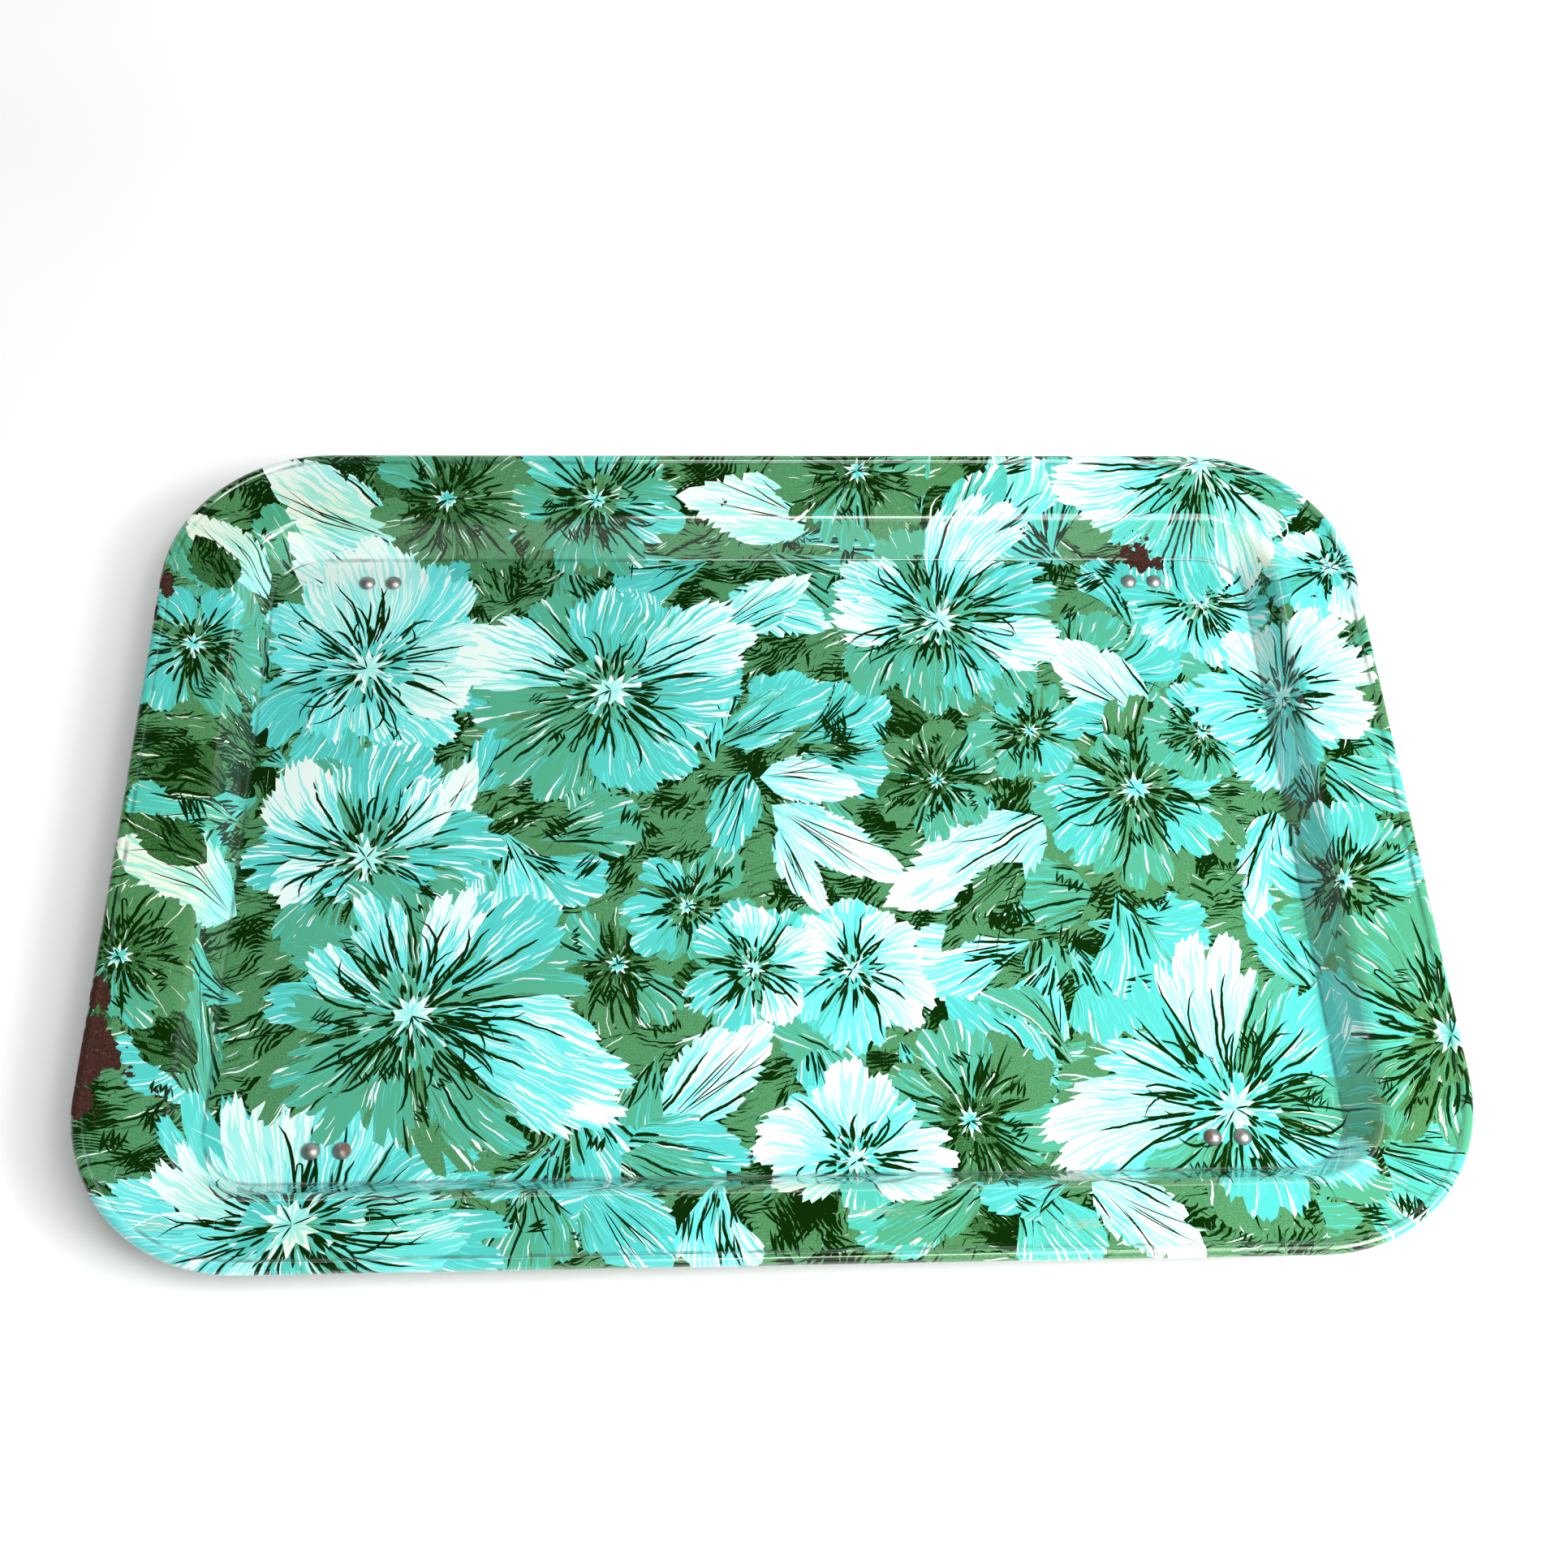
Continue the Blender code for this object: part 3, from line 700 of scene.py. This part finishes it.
def distance_out(points):
    """Like press's distance along the sheet, but not held at the sheet's edge."""
    u, v = np.abs(points[:, 0]), np.abs(points[:, 1])
    low, high = np.zeros(len(u)), np.full(len(u), SHEET_EDGE + 10)
    for _ in range(40):
        s = (low + high) / 2
        centre_x, centre_y = corner_centre(s)
        radius = WELL_CORNER + GROW_R * s
        over = np.hypot(np.maximum(u - centre_x, 0), np.maximum(v - centre_y, 0)) > radius
        low, high = np.where(over, s, low), np.where(over, high, s)
    return (low + high) / 2


def zip_loops(upper, lower, upper_angle, lower_angle):
    """Triangles between two closed loops, both in order of their angle."""
    made = []
    i = j = 0
    while i < len(upper) or j < len(lower):
        next_upper = upper_angle[i + 1] if i + 1 < len(upper) else tau + upper_angle[0]
        next_lower = lower_angle[j + 1] if j + 1 < len(lower) else tau + lower_angle[0]
        if j >= len(lower) or (i < len(upper) and next_upper <= next_lower):
            made.append((upper[i % len(upper)], upper[(i + 1) % len(upper)], lower[j % len(lower)]))
            i += 1
        else:
            made.append((upper[i % len(upper)], lower[(j + 1) % len(lower)], lower[j % len(lower)]))
            j += 1
    return made


def build_pan(materials):
    sheet = draw_print()
    flat, triangles, top = lay_mosaic(sheet)
    used = np.unique(triangles)
    renumber = np.zeros(len(flat), int)
    renumber[used] = np.arange(len(used))
    triangles = renumber[triangles]
    flat = flat[used]
    places, normals, along = press(flat)

    # Cut edge: the loop that only one triangle uses each edge of
    edges = np.concatenate([triangles[:, [0, 1]], triangles[:, [1, 2]], triangles[:, [2, 0]]])
    keys = np.sort(edges, 1)
    _, first, counts = np.unique(keys, axis=0, return_index=True, return_counts=True)
    rim = np.unique(edges[first[counts == 1]])
    rim_angle = np.arctan2(flat[rim, 1], flat[rim, 0])
    order = np.argsort(rim_angle)
    rim, rim_angle = rim[order], rim_angle[order]

    # Underside: the same section one sheet's thickness below
    stops = section_stops()[::-1]
    under_flat = np.array([p for stop in stops for p in ring(stop)])
    under_places, under_normals, under_along = press(under_flat)
    under_places = under_places - SHEET * under_normals
    count = len(ring(0.0))
    base = len(flat)
    loop = np.arange(count)
    loop_angle = np.arctan2(under_flat[:count, 1], under_flat[:count, 0])
    order = np.argsort(loop_angle)
    polygons = [tuple(int(i) for i in t) for t in triangles]
    edge_faces = zip_loops(list(map(int, rim)), [base + int(i) for i in loop[order]],
                           rim_angle, loop_angle[order])
    polygons += [face[::-1] for face in edge_faces]
    under_faces = []
    for row in range(len(stops) - 1):
        for i in range(count):
            j = (i + 1) % count
            here, below = base + row * count, base + (row + 1) * count
            under_faces.append((here + j, here + i, below + i, below + j))
    last = base + (len(stops) - 1) * count
    under_faces.append(tuple(last + i for i in reversed(range(count))))
    polygons += under_faces

    all_places = np.concatenate([places, under_places]) * MM
    all_normals = np.concatenate([normals, -under_normals])
    mesh = bpy.data.meshes.new("printed_pan")
    mesh.from_pydata(all_places.tolist(), [], polygons)
    for material in materials:
        mesh.materials.append(material)
    rusty = np.array([fan[3][2] for fan in sheet.fans])[top] > 0.5
    parts = np.where(rusty, 3, 0).tolist() + [2] * len(edge_faces) + [1] * len(under_faces)
    mesh.polygons.foreach_set("material_index", parts)
    mesh.shade_smooth()
    mesh.normals_split_custom_set_from_vertices(all_normals.tolist())
    cut = mesh.attributes.new("sharp_face", "BOOLEAN", "FACE")
    cut.data.foreach_set("value", [part == 2 for part in parts])

    where = np.zeros((len(all_places), 3))
    where[:len(flat), :2] = flat
    where[:len(flat), 2] = along
    where[len(flat):, :2] = under_flat
    where[len(flat):, 2] = under_along
    store(mesh, "print", "POINT", where)
    for index, name in enumerate(("fan_axis", "fan_size", "fan_tone", "fan_mark", "fan_form")):
        values = np.zeros((len(polygons), 3))
        table = np.array([fan[index] for fan in sheet.fans])
        values[:len(triangles)] = table[top]
        store(mesh, name, "FACE", values)

    pan = bpy.data.objects.new("printed_pan", mesh)
    bpy.context.collection.objects.link(pan)
    print("pan", len(mesh.vertices), "verts", len(mesh.polygons), "faces", len(sheet.outlines), "outlines")
    return pan


def store(mesh, name, domain, values):
    attribute = mesh.attributes.new(name, "FLOAT_VECTOR", domain)
    attribute.data.foreach_set("vector", np.asarray(values, np.float32).ravel())


# ---------------------------------------------------------------- shader helpers

def linear(color):
    """An sRGB colour in 0..255 as linear RGBA."""
    share = [c / 255 for c in color]
    return (*[c / 12.92 if c <= 0.04045 else ((c + 0.055) / 1.055) ** 2.4 for c in share], 1.0)


def maths(operation, swapped=False):
    """A method of Value that adds one maths node."""
    def apply(self, *other):
        return self.nodes.math(operation, *((*other, self) if swapped else (self, *other)))
    return apply


class Value:
    """What a node puts out. Arithmetic and comparisons with it add maths nodes."""

    def __init__(self, nodes, socket):
        self.nodes = nodes
        self.socket = socket

    __add__ = maths("ADD")
    __sub__ = maths("SUBTRACT")
    __rsub__ = maths("SUBTRACT", swapped=True)
    __mul__ = maths("MULTIPLY")
    __truediv__ = maths("DIVIDE")
    __pow__ = maths("POWER")
    __gt__ = maths("GREATER_THAN")
    __lt__ = maths("LESS_THAN")
    __abs__ = maths("ABSOLUTE")


class Nodes:
    """Short ways to write the node tree of a material or of the world."""

    def __init__(self, owner, shader="Principled BSDF"):
        owner.use_nodes = True
        self.owner = owner
        self.tree = owner.node_tree
        self.shader = self.tree.nodes[shader]

    def add(self, kind, inputs=(), output=0, **settings):
        """Adds a node, feeds its inputs by place or by name, and gives one output."""
        node = self.tree.nodes.new("ShaderNode" + kind)
        for key, value in settings.items():
            setattr(node, key, value)
        self.feed(node, inputs)
        return Value(self, node.outputs[output])

    def feed(self, node, inputs):
        for key, value in inputs.items() if isinstance(inputs, dict) else enumerate(inputs):
            if isinstance(value, Value):
                self.tree.links.new(value.socket, node.inputs[key])
            else:
                node.inputs[key].default_value = value

    def math(self, operation, *values):
        return self.add("Math", values, operation=operation)

    def larger(self, a, b):
        return self.math("MAXIMUM", a, b)

    def smaller(self, a, b):
        return self.math("MINIMUM", a, b)

    def vector(self, operation, *values):
        output = "Value" if operation in ("LENGTH", "DOT_PRODUCT", "DISTANCE") else "Vector"
        return self.add("VectorMath", values, output, operation=operation)

    def combine(self, *parts):
        return self.add("CombineXYZ", parts)

    def separate(self, vector):
        node = self.add("SeparateXYZ", (vector,)).socket.node
        return [Value(self, output) for output in node.outputs]

    def coordinates(self, name):
        return self.add("TexCoord", (), name)

    def object_mm(self):
        """The object's own coordinates, in millimetres."""
        return self.vector("MULTIPLY", self.coordinates("Object"), (1 / MM, 1 / MM, 1 / MM))

    def attribute(self, name):
        return self.add("Attribute", (), "Vector", attribute_name=name)

    def noise(self, vector, scale, detail=0.0, roughness=0.5, distortion=0.0):
        return self.add("TexNoise", {"Vector": vector, "Scale": scale, "Detail": detail,
                                     "Roughness": roughness, "Distortion": distortion}, "Fac")

    def dice(self, vector):
        """One random number and three more, the same wherever the vector is the same."""
        chance = self.add("TexWhiteNoise", {"Vector": vector}, "Value", noise_dimensions="3D")
        return chance, self.separate(Value(self, chance.socket.node.outputs["Color"]))

    def ramp(self, factor, stops, interpolation="LINEAR"):
        found = self.add("ValToRGB", (factor,))
        ramp = found.socket.node.color_ramp
        ramp.interpolation = interpolation
        while len(ramp.elements) < len(stops):
            ramp.elements.new(0.5)
        for element, (position, color) in zip(ramp.elements, stops):
            element.position = position
            element.color = color
        return found

    def mix(self, factor, a, b, blend="MIX"):
        """A colour between a and b."""
        return self.add("Mix", {"Factor": factor, "A": a, "B": b}, "Result",
                        data_type="RGBA", blend_type=blend)

    def blend(self, factor, a, b):
        """A number between a and b."""
        return self.add("Mix", {"Factor": factor, "A": a, "B": b}, "Result", data_type="FLOAT")

    def soft(self, value, low, high, out_low=0.0, out_high=1.0):
        """A smooth step between low and high."""
        return self.add("MapRange", (value, low, high, out_low, out_high), interpolation_type="SMOOTHSTEP")

    def bump(self, height, strength=1.0, distance=1.0):
        return self.add("Bump", {"Height": height, "Strength": strength, "Distance": distance})

    def finish(self, color, roughness, normal, metallic=0.0, specular=0.5):
        self.feed(self.shader, {"Base Color": color, "Roughness": roughness, "Normal": normal,
                                "Metallic": metallic, "Specular IOR Level": specular})
        return self.owner


def new_material(name):
    return Nodes(bpy.data.materials.new(name))


def pen_lines(n, angle, r_mm, r_share, seed, per_radian, width, amount, near, reach):
    """Tapered radial strokes, one in each cell of angle, as a mask."""
    cells = angle * per_radian
    cell = n.math("FLOOR", cells)
    within = n.math("FRACT", cells)
    chance, roll = n.dice(n.combine(cell, seed, 0.0))
    start = roll[0] * near[1] + near[0]
    length = roll[1] ** 1.6 * reach[1] + reach[0]
    share = (r_share - start) / length
    taper = n.larger(share * (1.0 - share) * 4.0, 0.0) ** 0.45
    place = roll[2] * 0.6 + 0.2
    off_mm = abs(within - place) * r_mm / per_radian
    return (off_mm < taper * width) * (chance < amount)


def printed_material():
    """Litho print under varnish, from the fan that each face carries."""
    n = new_material("printed_steel_top")
    place = n.attribute("print")
    place_x, place_y, along = n.separate(place)
    centre_x, centre_y, direction = n.separate(n.attribute("fan_axis"))
    length, streaks, seed = n.separate(n.attribute("fan_size"))
    ink, light, shade = n.separate(n.attribute("fan_tone"))
    pen, bend, _ = n.separate(n.attribute("fan_mark"))
    spread, side, hatch = n.separate(n.attribute("fan_form"))

    dx = place_x - centre_x
    dy = place_y - centre_y
    cosine = n.math("COSINE", direction)
    sine = n.math("SINE", direction)
    ahead = dx * cosine + dy * sine
    aside = dy * cosine - dx * sine
    r_mm = n.math("SQRT", ahead * ahead + aside * aside)
    r = r_mm / length
    angle = n.math("ARCTAN2", aside, ahead) - bend * (r * r)
    flow = n.noise(n.combine(place_x, place_y, seed), 0.06, 1.0)
    quiver = n.noise(n.combine(place_x, place_y, seed), 0.32, 1.0)
    sway = (flow - 0.5) * 6.0 / (r_mm + 10.0)
    shake = (quiver - 0.5) * 0.9 / (r_mm + 3.0)
    angle = angle + sway + shake
    brush = angle * streaks

    def streak(across, along_mm, offset):
        return n.noise(n.combine(brush * across, r_mm * along_mm, seed + offset), 1.0, 0.6, 0.6)

    broad = streak(0.9, 0.04, 0.0)
    fine = streak(2.0, 0.055, 31.0)
    snow = streak(1.5, 0.05, 67.0)
    shine = streak(2.4, 0.06, 93.0)
    tip = r ** 1.6

    across = angle / spread
    edge_shade = abs(across) ** 3.0 * 0.1 + across * side * 0.06
    shade_at = (0.66 - r) * (shade * 0.4) + 0.32 + n.smaller(edge_shade, 0.12)
    step = ink - (broad < shade_at)
    step = step - (fine < shade_at - 0.06)
    step = n.larger(step, n.smaller(ink, float(DARK)))
    lift_at = light * r * -0.16 + 0.645
    step = n.larger(step, (shine > lift_at) * n.smaller(ink + 1.0, float(PALE)) * (light > 0.1))
    snow_at = light * tip * -0.32 + 0.71
    step = n.larger(step, (snow > snow_at) * float(WHITE))

    # Pen lines along the petal, others across them, and hatching on the greens
    dark_pen = pen_lines(n, angle, r_mm, r, seed, streaks * 0.36, 0.56, pen, (0.04, 0.5), (0.12, 0.5))
    cross_pen = pen_lines(n, angle + r * 0.5, r_mm, r, seed + 5.0, streaks * 0.3, 0.46, pen * 0.6,
                          (0.05, 0.75), (0.06, 0.3))
    marks = n.larger(dark_pen, cross_pen)
    for turn, pitch, offset in ((0.35, 0.62, 11.0), (-0.5, 0.5, 23.0)):
        slant = aside * cos(turn) + ahead * sin(turn)
        run = ahead * cos(turn) - aside * sin(turn)
        rows = (quiver - 0.5) * 1.1 + ((flow - 0.5) * 7.0 + slant * pitch)
        thick = n.noise(n.combine(run * 0.11, n.math("FLOOR", rows) * 7.7, offset), 1.0, 1.0)
        patch = n.noise(n.combine(place_x, place_y, seed + offset), 0.055, 1.0)
        width = (thick - 0.52 + (patch - 0.5) * 1.6) * 1.5
        centred = abs(n.math("FRACT", rows) - 0.5)
        marks = n.larger(marks, (centred < width) * hatch)
    step = step * (1.0 - marks)

    stops = []
    for i, color in enumerate(INKS):
        red, green, blue, _ = linear(color)
        stops.append((i / len(INKS), (red * INK_STRENGTH, green * INK_STRENGTH, blue * INK_STRENGTH, 1.0)))
    color = n.ramp((step + 0.5) / float(len(INKS)), stops, "CONSTANT")

    # Cloth-like halftone in the greens
    weave = n.math("SINE", (place_x + place_y) * 7.5) * n.math("SINE", (place_x - place_y) * 7.5)
    grain = n.noise(place, 1.6, 2.0, 0.7)
    dots = weave * 0.12 + grain > 0.52
    in_green = abs(step - 1.5) < 0.6
    halftone = dots * in_green * 0.22
    color = n.mix(halftone, color, linear((120, 185, 140)))

    # Yellowed varnish in places
    on_border = n.soft(along, 8.0, 16.0, 0.2, 0.9)
    aged = n.soft(n.noise(place, 0.012, 2.0), 0.4, 0.62) * on_border
    color = n.mix(aged, color, (0.98, 0.93, 0.78, 1.0), "MULTIPLY")

    # Wear: rubbed bead, fine scratches, specks; and painted shade along the groove and the crease
    bead_start = SHEET_EDGE - BEAD_RADIUS * 4.2
    on_bead = n.soft(along, bead_start, bead_start + 1.5)
    rub = n.noise(place, 0.5, 4.0, 0.65) * on_bead > 0.7
    # Painted shade: a thin, patchy dark line along the groove where the border meets the bead, and along the
    # crease at the floor's edge
    for line, patchy in ((GROOVE, 0.3), (CREASE, 0.1)):
        beside = abs(along - line)
        thick = n.soft(n.noise(place, 0.15, 2.0), patchy, 0.7)
        painted_shade = n.soft(beside, 0.2, 1.1, 0.65, 0.0) * thick
        color = n.mix(painted_shade, color, linear((28, 62, 46)))
    scratch_space = n.vector("MULTIPLY", place, (0.9, 0.035, 0.0))
    scratches = n.noise(scratch_space, 3.0, 2.0, 0.5, 0.6) > 0.735
    color = n.mix(scratches * 0.35, color, linear((205, 222, 208)))
    color = n.mix(rub, color, linear((92, 78, 58)))

    for scuff_x, scuff_y, long, wide in SCUFFS:
        away = n.vector("LENGTH", n.combine((place_x - scuff_x) / long, (place_y - scuff_y) / wide))
        streaky = n.noise(n.vector("MULTIPLY", place, (0.25, 1.0, 0.0)), 1.3, 4.0, 0.7)
        worn = streaky - away * 0.14 > 0.47
        color = n.mix(worn * 0.7, color, linear((150, 160, 138)))

    rough = n.soft(n.noise(place, 0.05, 3.0), 0.3, 0.7, 0.05, 0.09) + scratches * 0.15
    rough = n.blend(rub, rough, 0.6)
    waves = n.noise(place, 0.035, 1.0) * 25e-6
    peel = n.noise(place, 0.8, 2.0) * 1.2e-6
    n.shader.inputs["IOR"].default_value = 1.6
    return n.finish(color, rough, n.bump(waves + peel), specular=0.55)


def rust_material():
    """Bare rusted steel in the chips of the print."""
    n = new_material("rusted_steel")
    place = n.attribute("print")
    crust = n.noise(place, 1.1, 6.0, 0.7)
    color = n.ramp(crust, [(0.32, linear((18, 9, 5))), (0.52, linear((46, 20, 11))),
                           (0.66, linear((92, 44, 22))), (0.78, linear((160, 150, 120)))])
    return n.finish(color, 0.7, n.bump(crust * 200e-6), specular=0.2)


def underside_material():
    """Plain dark enamel with a light orange peel, scuffed to rust in places."""
    n = new_material("printed_steel_underside")
    place = n.object_mm()
    tint = n.noise(place, 0.02, 3.0)
    color = n.ramp(tint, [(0.3, linear((52, 84, 66))), (0.7, linear((64, 98, 78)))])
    scratch_space = n.vector("MULTIPLY", place, (0.05, 0.8, 0.3))
    scratches = n.noise(scratch_space, 2.0, 3.0, 0.5, 0.8) > 0.7
    color = n.mix(scratches * 0.4, color, linear((120, 146, 128)))
    spots = n.soft(n.noise(place, 0.09, 5.0, 0.65), 0.66, 0.69)
    rust = n.ramp(n.noise(place, 0.35, 6.0, 0.7),
                  [(0.35, linear((54, 28, 18))), (0.65, linear((128, 70, 38)))])
    color = n.mix(spots, color, rust)
    rough = n.soft(tint, 0.3, 0.7, 0.32, 0.45) + spots * 0.35
    height = n.noise(place, 0.9, 2.0) * 4e-6 + n.noise(place, 0.035, 1.0) * 60e-6
    return n.finish(color, rough, n.bump(height))


def steel_material(name, color, roughness, tarnish=0.3, brushed=(1.0, 1.0, 1.0), rust_at=None):
    """Plated or bright steel: fine lines, cloudy tarnish, a few brown spots."""
    n = new_material(name)
    place = n.object_mm()
    lines = n.noise(n.vector("MULTIPLY", place, brushed), 4.0, 3.0, 0.6)
    cloud = n.noise(place, 0.25, 4.0, 0.6)
    base = n.ramp(cloud, [(0.3, linear([c * 0.82 for c in color])), (0.7, linear(color))])
    base = n.mix(lines * 0.25, base, linear([c * 0.6 for c in color]))
    spots = n.soft(n.noise(place, 0.7, 5.0, 0.7), 0.72 - 0.3 * tarnish, 0.78 - 0.3 * tarnish)
    brown = n.ramp(n.noise(place, 1.5, 4.0), [(0.3, linear((52, 32, 24))), (0.7, linear((122, 78, 52)))])
    if rust_at is not None:
        offset = n.vector("DISTANCE", place, rust_at)
        ragged = n.noise(place, 0.9, 3.0) * 2.2 + offset
        spots = n.larger(spots, n.soft(ragged, 3.2, 4.2, 1.0, 0.0))
    base = n.mix(spots * 0.85, base, brown)
    rough = lines * 0.15 + (spots * 0.3 + roughness)
    metal = spots * -0.7 + 1.0
    height = lines * 2e-6 + spots * 20e-6
    return n.finish(base, rough, n.bump(height), metal)


# ---------------------------------------------------------------- other pieces

# Brown stain beside two of the rivets: how far off the rivet's middle, in millimetres
RIVET_STAINS = {"rivet_front_left_inner": (2.6, 0.4), "rivet_front_right_inner": (-3.2, 0.6)}


def rivet_material(name):
    low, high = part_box(name)
    stain = None
    if name in RIVET_STAINS:
        middle = [(a + b) / 2 / MM + shift for a, b, shift in zip(low, high, RIVET_STAINS[name])]
        stain = (*middle, high[2] / MM)
    return steel_material(name + "_steel", (168, 166, 162), 0.42, 0.12, rust_at=stain)


def dress_nodes():
    """Materials for the CAD pieces that stay: rivets, clips and legs."""
    plated = steel_material("plated_steel_clip", (170, 166, 158), 0.3, 0.35, (1.0, 0.1, 1.0))
    wire = steel_material("plated_steel_wire", (176, 172, 164), 0.26)
    for name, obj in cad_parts.items():
        if name.startswith("clip"):
            assign(obj, plated)
        elif name.startswith("leg"):
            assign(obj, wire)
        elif name.startswith("rivet"):
            assign(obj, rivet_material(name))


def assign(obj, material):
    if not obj.material_slots:
        obj.data.materials.append(material)
    for material_slot in obj.material_slots:
        material_slot.material = material


# ---------------------------------------------------------------- stage

CAMERA_DISTANCE = 0.6952
CAMERA_ELEVATION = radians(58.95)
CAMERA_AZIMUTH = radians(-5.23)
CAMERA_ROLL = radians(4.08)
CAMERA_LENS = 44.36
AIM = Vector((0.00475, 0.02291, FLOOR_TOP * MM))


def place_camera():
    away = Vector((sin(CAMERA_AZIMUTH) * cos(CAMERA_ELEVATION),
                   -cos(CAMERA_AZIMUTH) * cos(CAMERA_ELEVATION), sin(CAMERA_ELEVATION)))
    right = (-away).cross(Vector((0, 0, 1))).normalized()
    up = right.cross(-away)
    across = right * cos(CAMERA_ROLL) + up * sin(CAMERA_ROLL)
    upward = up * cos(CAMERA_ROLL) - right * sin(CAMERA_ROLL)
    camera = bpy.data.objects.new("camera", bpy.data.cameras.new("camera"))
    camera.data.lens = CAMERA_LENS
    camera.data.sensor_width = 36.0
    matrix = Matrix((across, upward, away)).transposed().to_4x4()
    matrix.translation = AIM + CAMERA_DISTANCE * away
    camera.matrix_world = matrix
    bpy.context.collection.objects.link(camera)
    bpy.context.scene.camera = camera


def area_light(name, place, tilt, size, power):
    lamp = bpy.data.lights.new(name, "AREA")
    lamp.shape = "RECTANGLE"
    lamp.size, lamp.size_y = size
    lamp.energy = power
    obj = bpy.data.objects.new(name, lamp)
    obj.location = place
    obj.rotation_euler = (tilt, 0.0, 0.0)
    bpy.context.collection.objects.link(obj)


# Brightness of the studio: at the horizon, overhead, and in the dark part that the varnish mirrors
SKY_LOW = 0.75
SKY_HIGH = 0.15
SKY_DARK = 0.03
DARK_TOWARDS = (0.0, 0.5, 0.866)
FLOOR_REACH = 8.0


def pale_floor_material():
    """Off-white paper that glows as the horizon does, far from the tray, and faintly beside it: painted
    light that lightens the tray's shadow.
    """
    n = new_material("pale_floor")
    place = n.coordinates("Object")
    shade = n.ramp(n.noise(place, 6.0, 3.0),
                   [(0.3, linear((238, 240, 239))), (0.7, linear((244, 246, 245)))])
    # Painted light: the glow is 0.08 beside the tray, so the shadow under the tray comes out lighter
    glow = n.soft(n.vector("LENGTH", place), 0.3, 2.0, 0.08, SKY_LOW)
    n.feed(n.shader, {"Emission Color": shade, "Emission Strength": glow})
    return n.finish(shade, 0.6, n.bump(n.noise(place, 900.0, 3.0), 0.1, 0.0002), specular=0.2)


def build_stage():
    """Pale floor that stays pale into the distance, and soft lamps over it."""
    mesh = bpy.data.meshes.new("floor")
    corners = [(x * FLOOR_REACH, y * FLOOR_REACH, 0) for x, y in ((-1, -1), (1, -1), (1, 1), (-1, 1))]
    mesh.from_pydata(corners, [], [(0, 1, 2, 3)])
    mesh.materials.append(pale_floor_material())
    floor = bpy.data.objects.new("floor", mesh)
    bpy.context.collection.objects.link(floor)
    keep_under_feet(floor)
    light_sky()
    area_light("key", (0.42, -0.29, 0.85), 0.0, (0.408, 0.72), 5.0)
    area_light("strip", (0.135, -0.29, 0.85), 0.0, (0.42, 0.25), 3.75)
    area_light("side", (0.62, -0.35, 0.65), 0.0, (0.4, 0.5), 13.0)
    area_light("back", (0.0, 1.2, 0.7), 0.0, (2.4, 0.6), 12.0)
    area_light("fill", (1.0, -2.2, 2.4), radians(42.0), (2.4, 1.6), 14.0)
    bpy.context.scene.view_settings.view_transform = "Standard"


def keep_under_feet(floor):
    """Holds the floor level with the lower foot wherever that is below the folded tray."""
    for leg, body in (("leg_left", "left_leg"), ("leg_right", "right_leg")):
        low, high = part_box(leg)
        radius = (high[2] - low[2]) / 2
        far = high[0] - radius if leg == "leg_left" else low[0] + radius
        foot = bpy.data.objects.new("foot_of_" + leg, None)
        bpy.context.collection.objects.link(foot)
        foot.location = (far, 0.0, low[2] + radius)
        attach(foot, body)
        limit = floor.constraints.new("FLOOR")
        limit.target = foot
        limit.floor_location = "FLOOR_NEGATIVE_Z"
        limit.offset = -radius


def light_sky():
    """A world that is pale near the horizon and dim above."""
    n = Nodes(bpy.data.worlds.new("studio"), "Background")
    towards = n.coordinates("Generated")
    level = n.soft(n.separate(towards)[2], 0.2, 0.5, SKY_LOW, SKY_HIGH)
    dimming = n.soft(n.vector("DOT_PRODUCT", towards, DARK_TOWARDS), 0.7, 0.9, 1.0, SKY_DARK / SKY_HIGH)
    n.feed(n.shader, {"Color": (1.0, 1.0, 1.0, 1.0), "Strength": level * dimming})
    bpy.context.scene.world = n.owner


# ---------------------------------------------------------------- assembly

place_camera()
build_stage()
pan = build_pan([printed_material(), underside_material(),
                 steel_material("cut_edge_steel", (120, 112, 104), 0.45, 0.6), rust_material()])
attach(pan, "tray")
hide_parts("tray_pan")
dress_nodes()
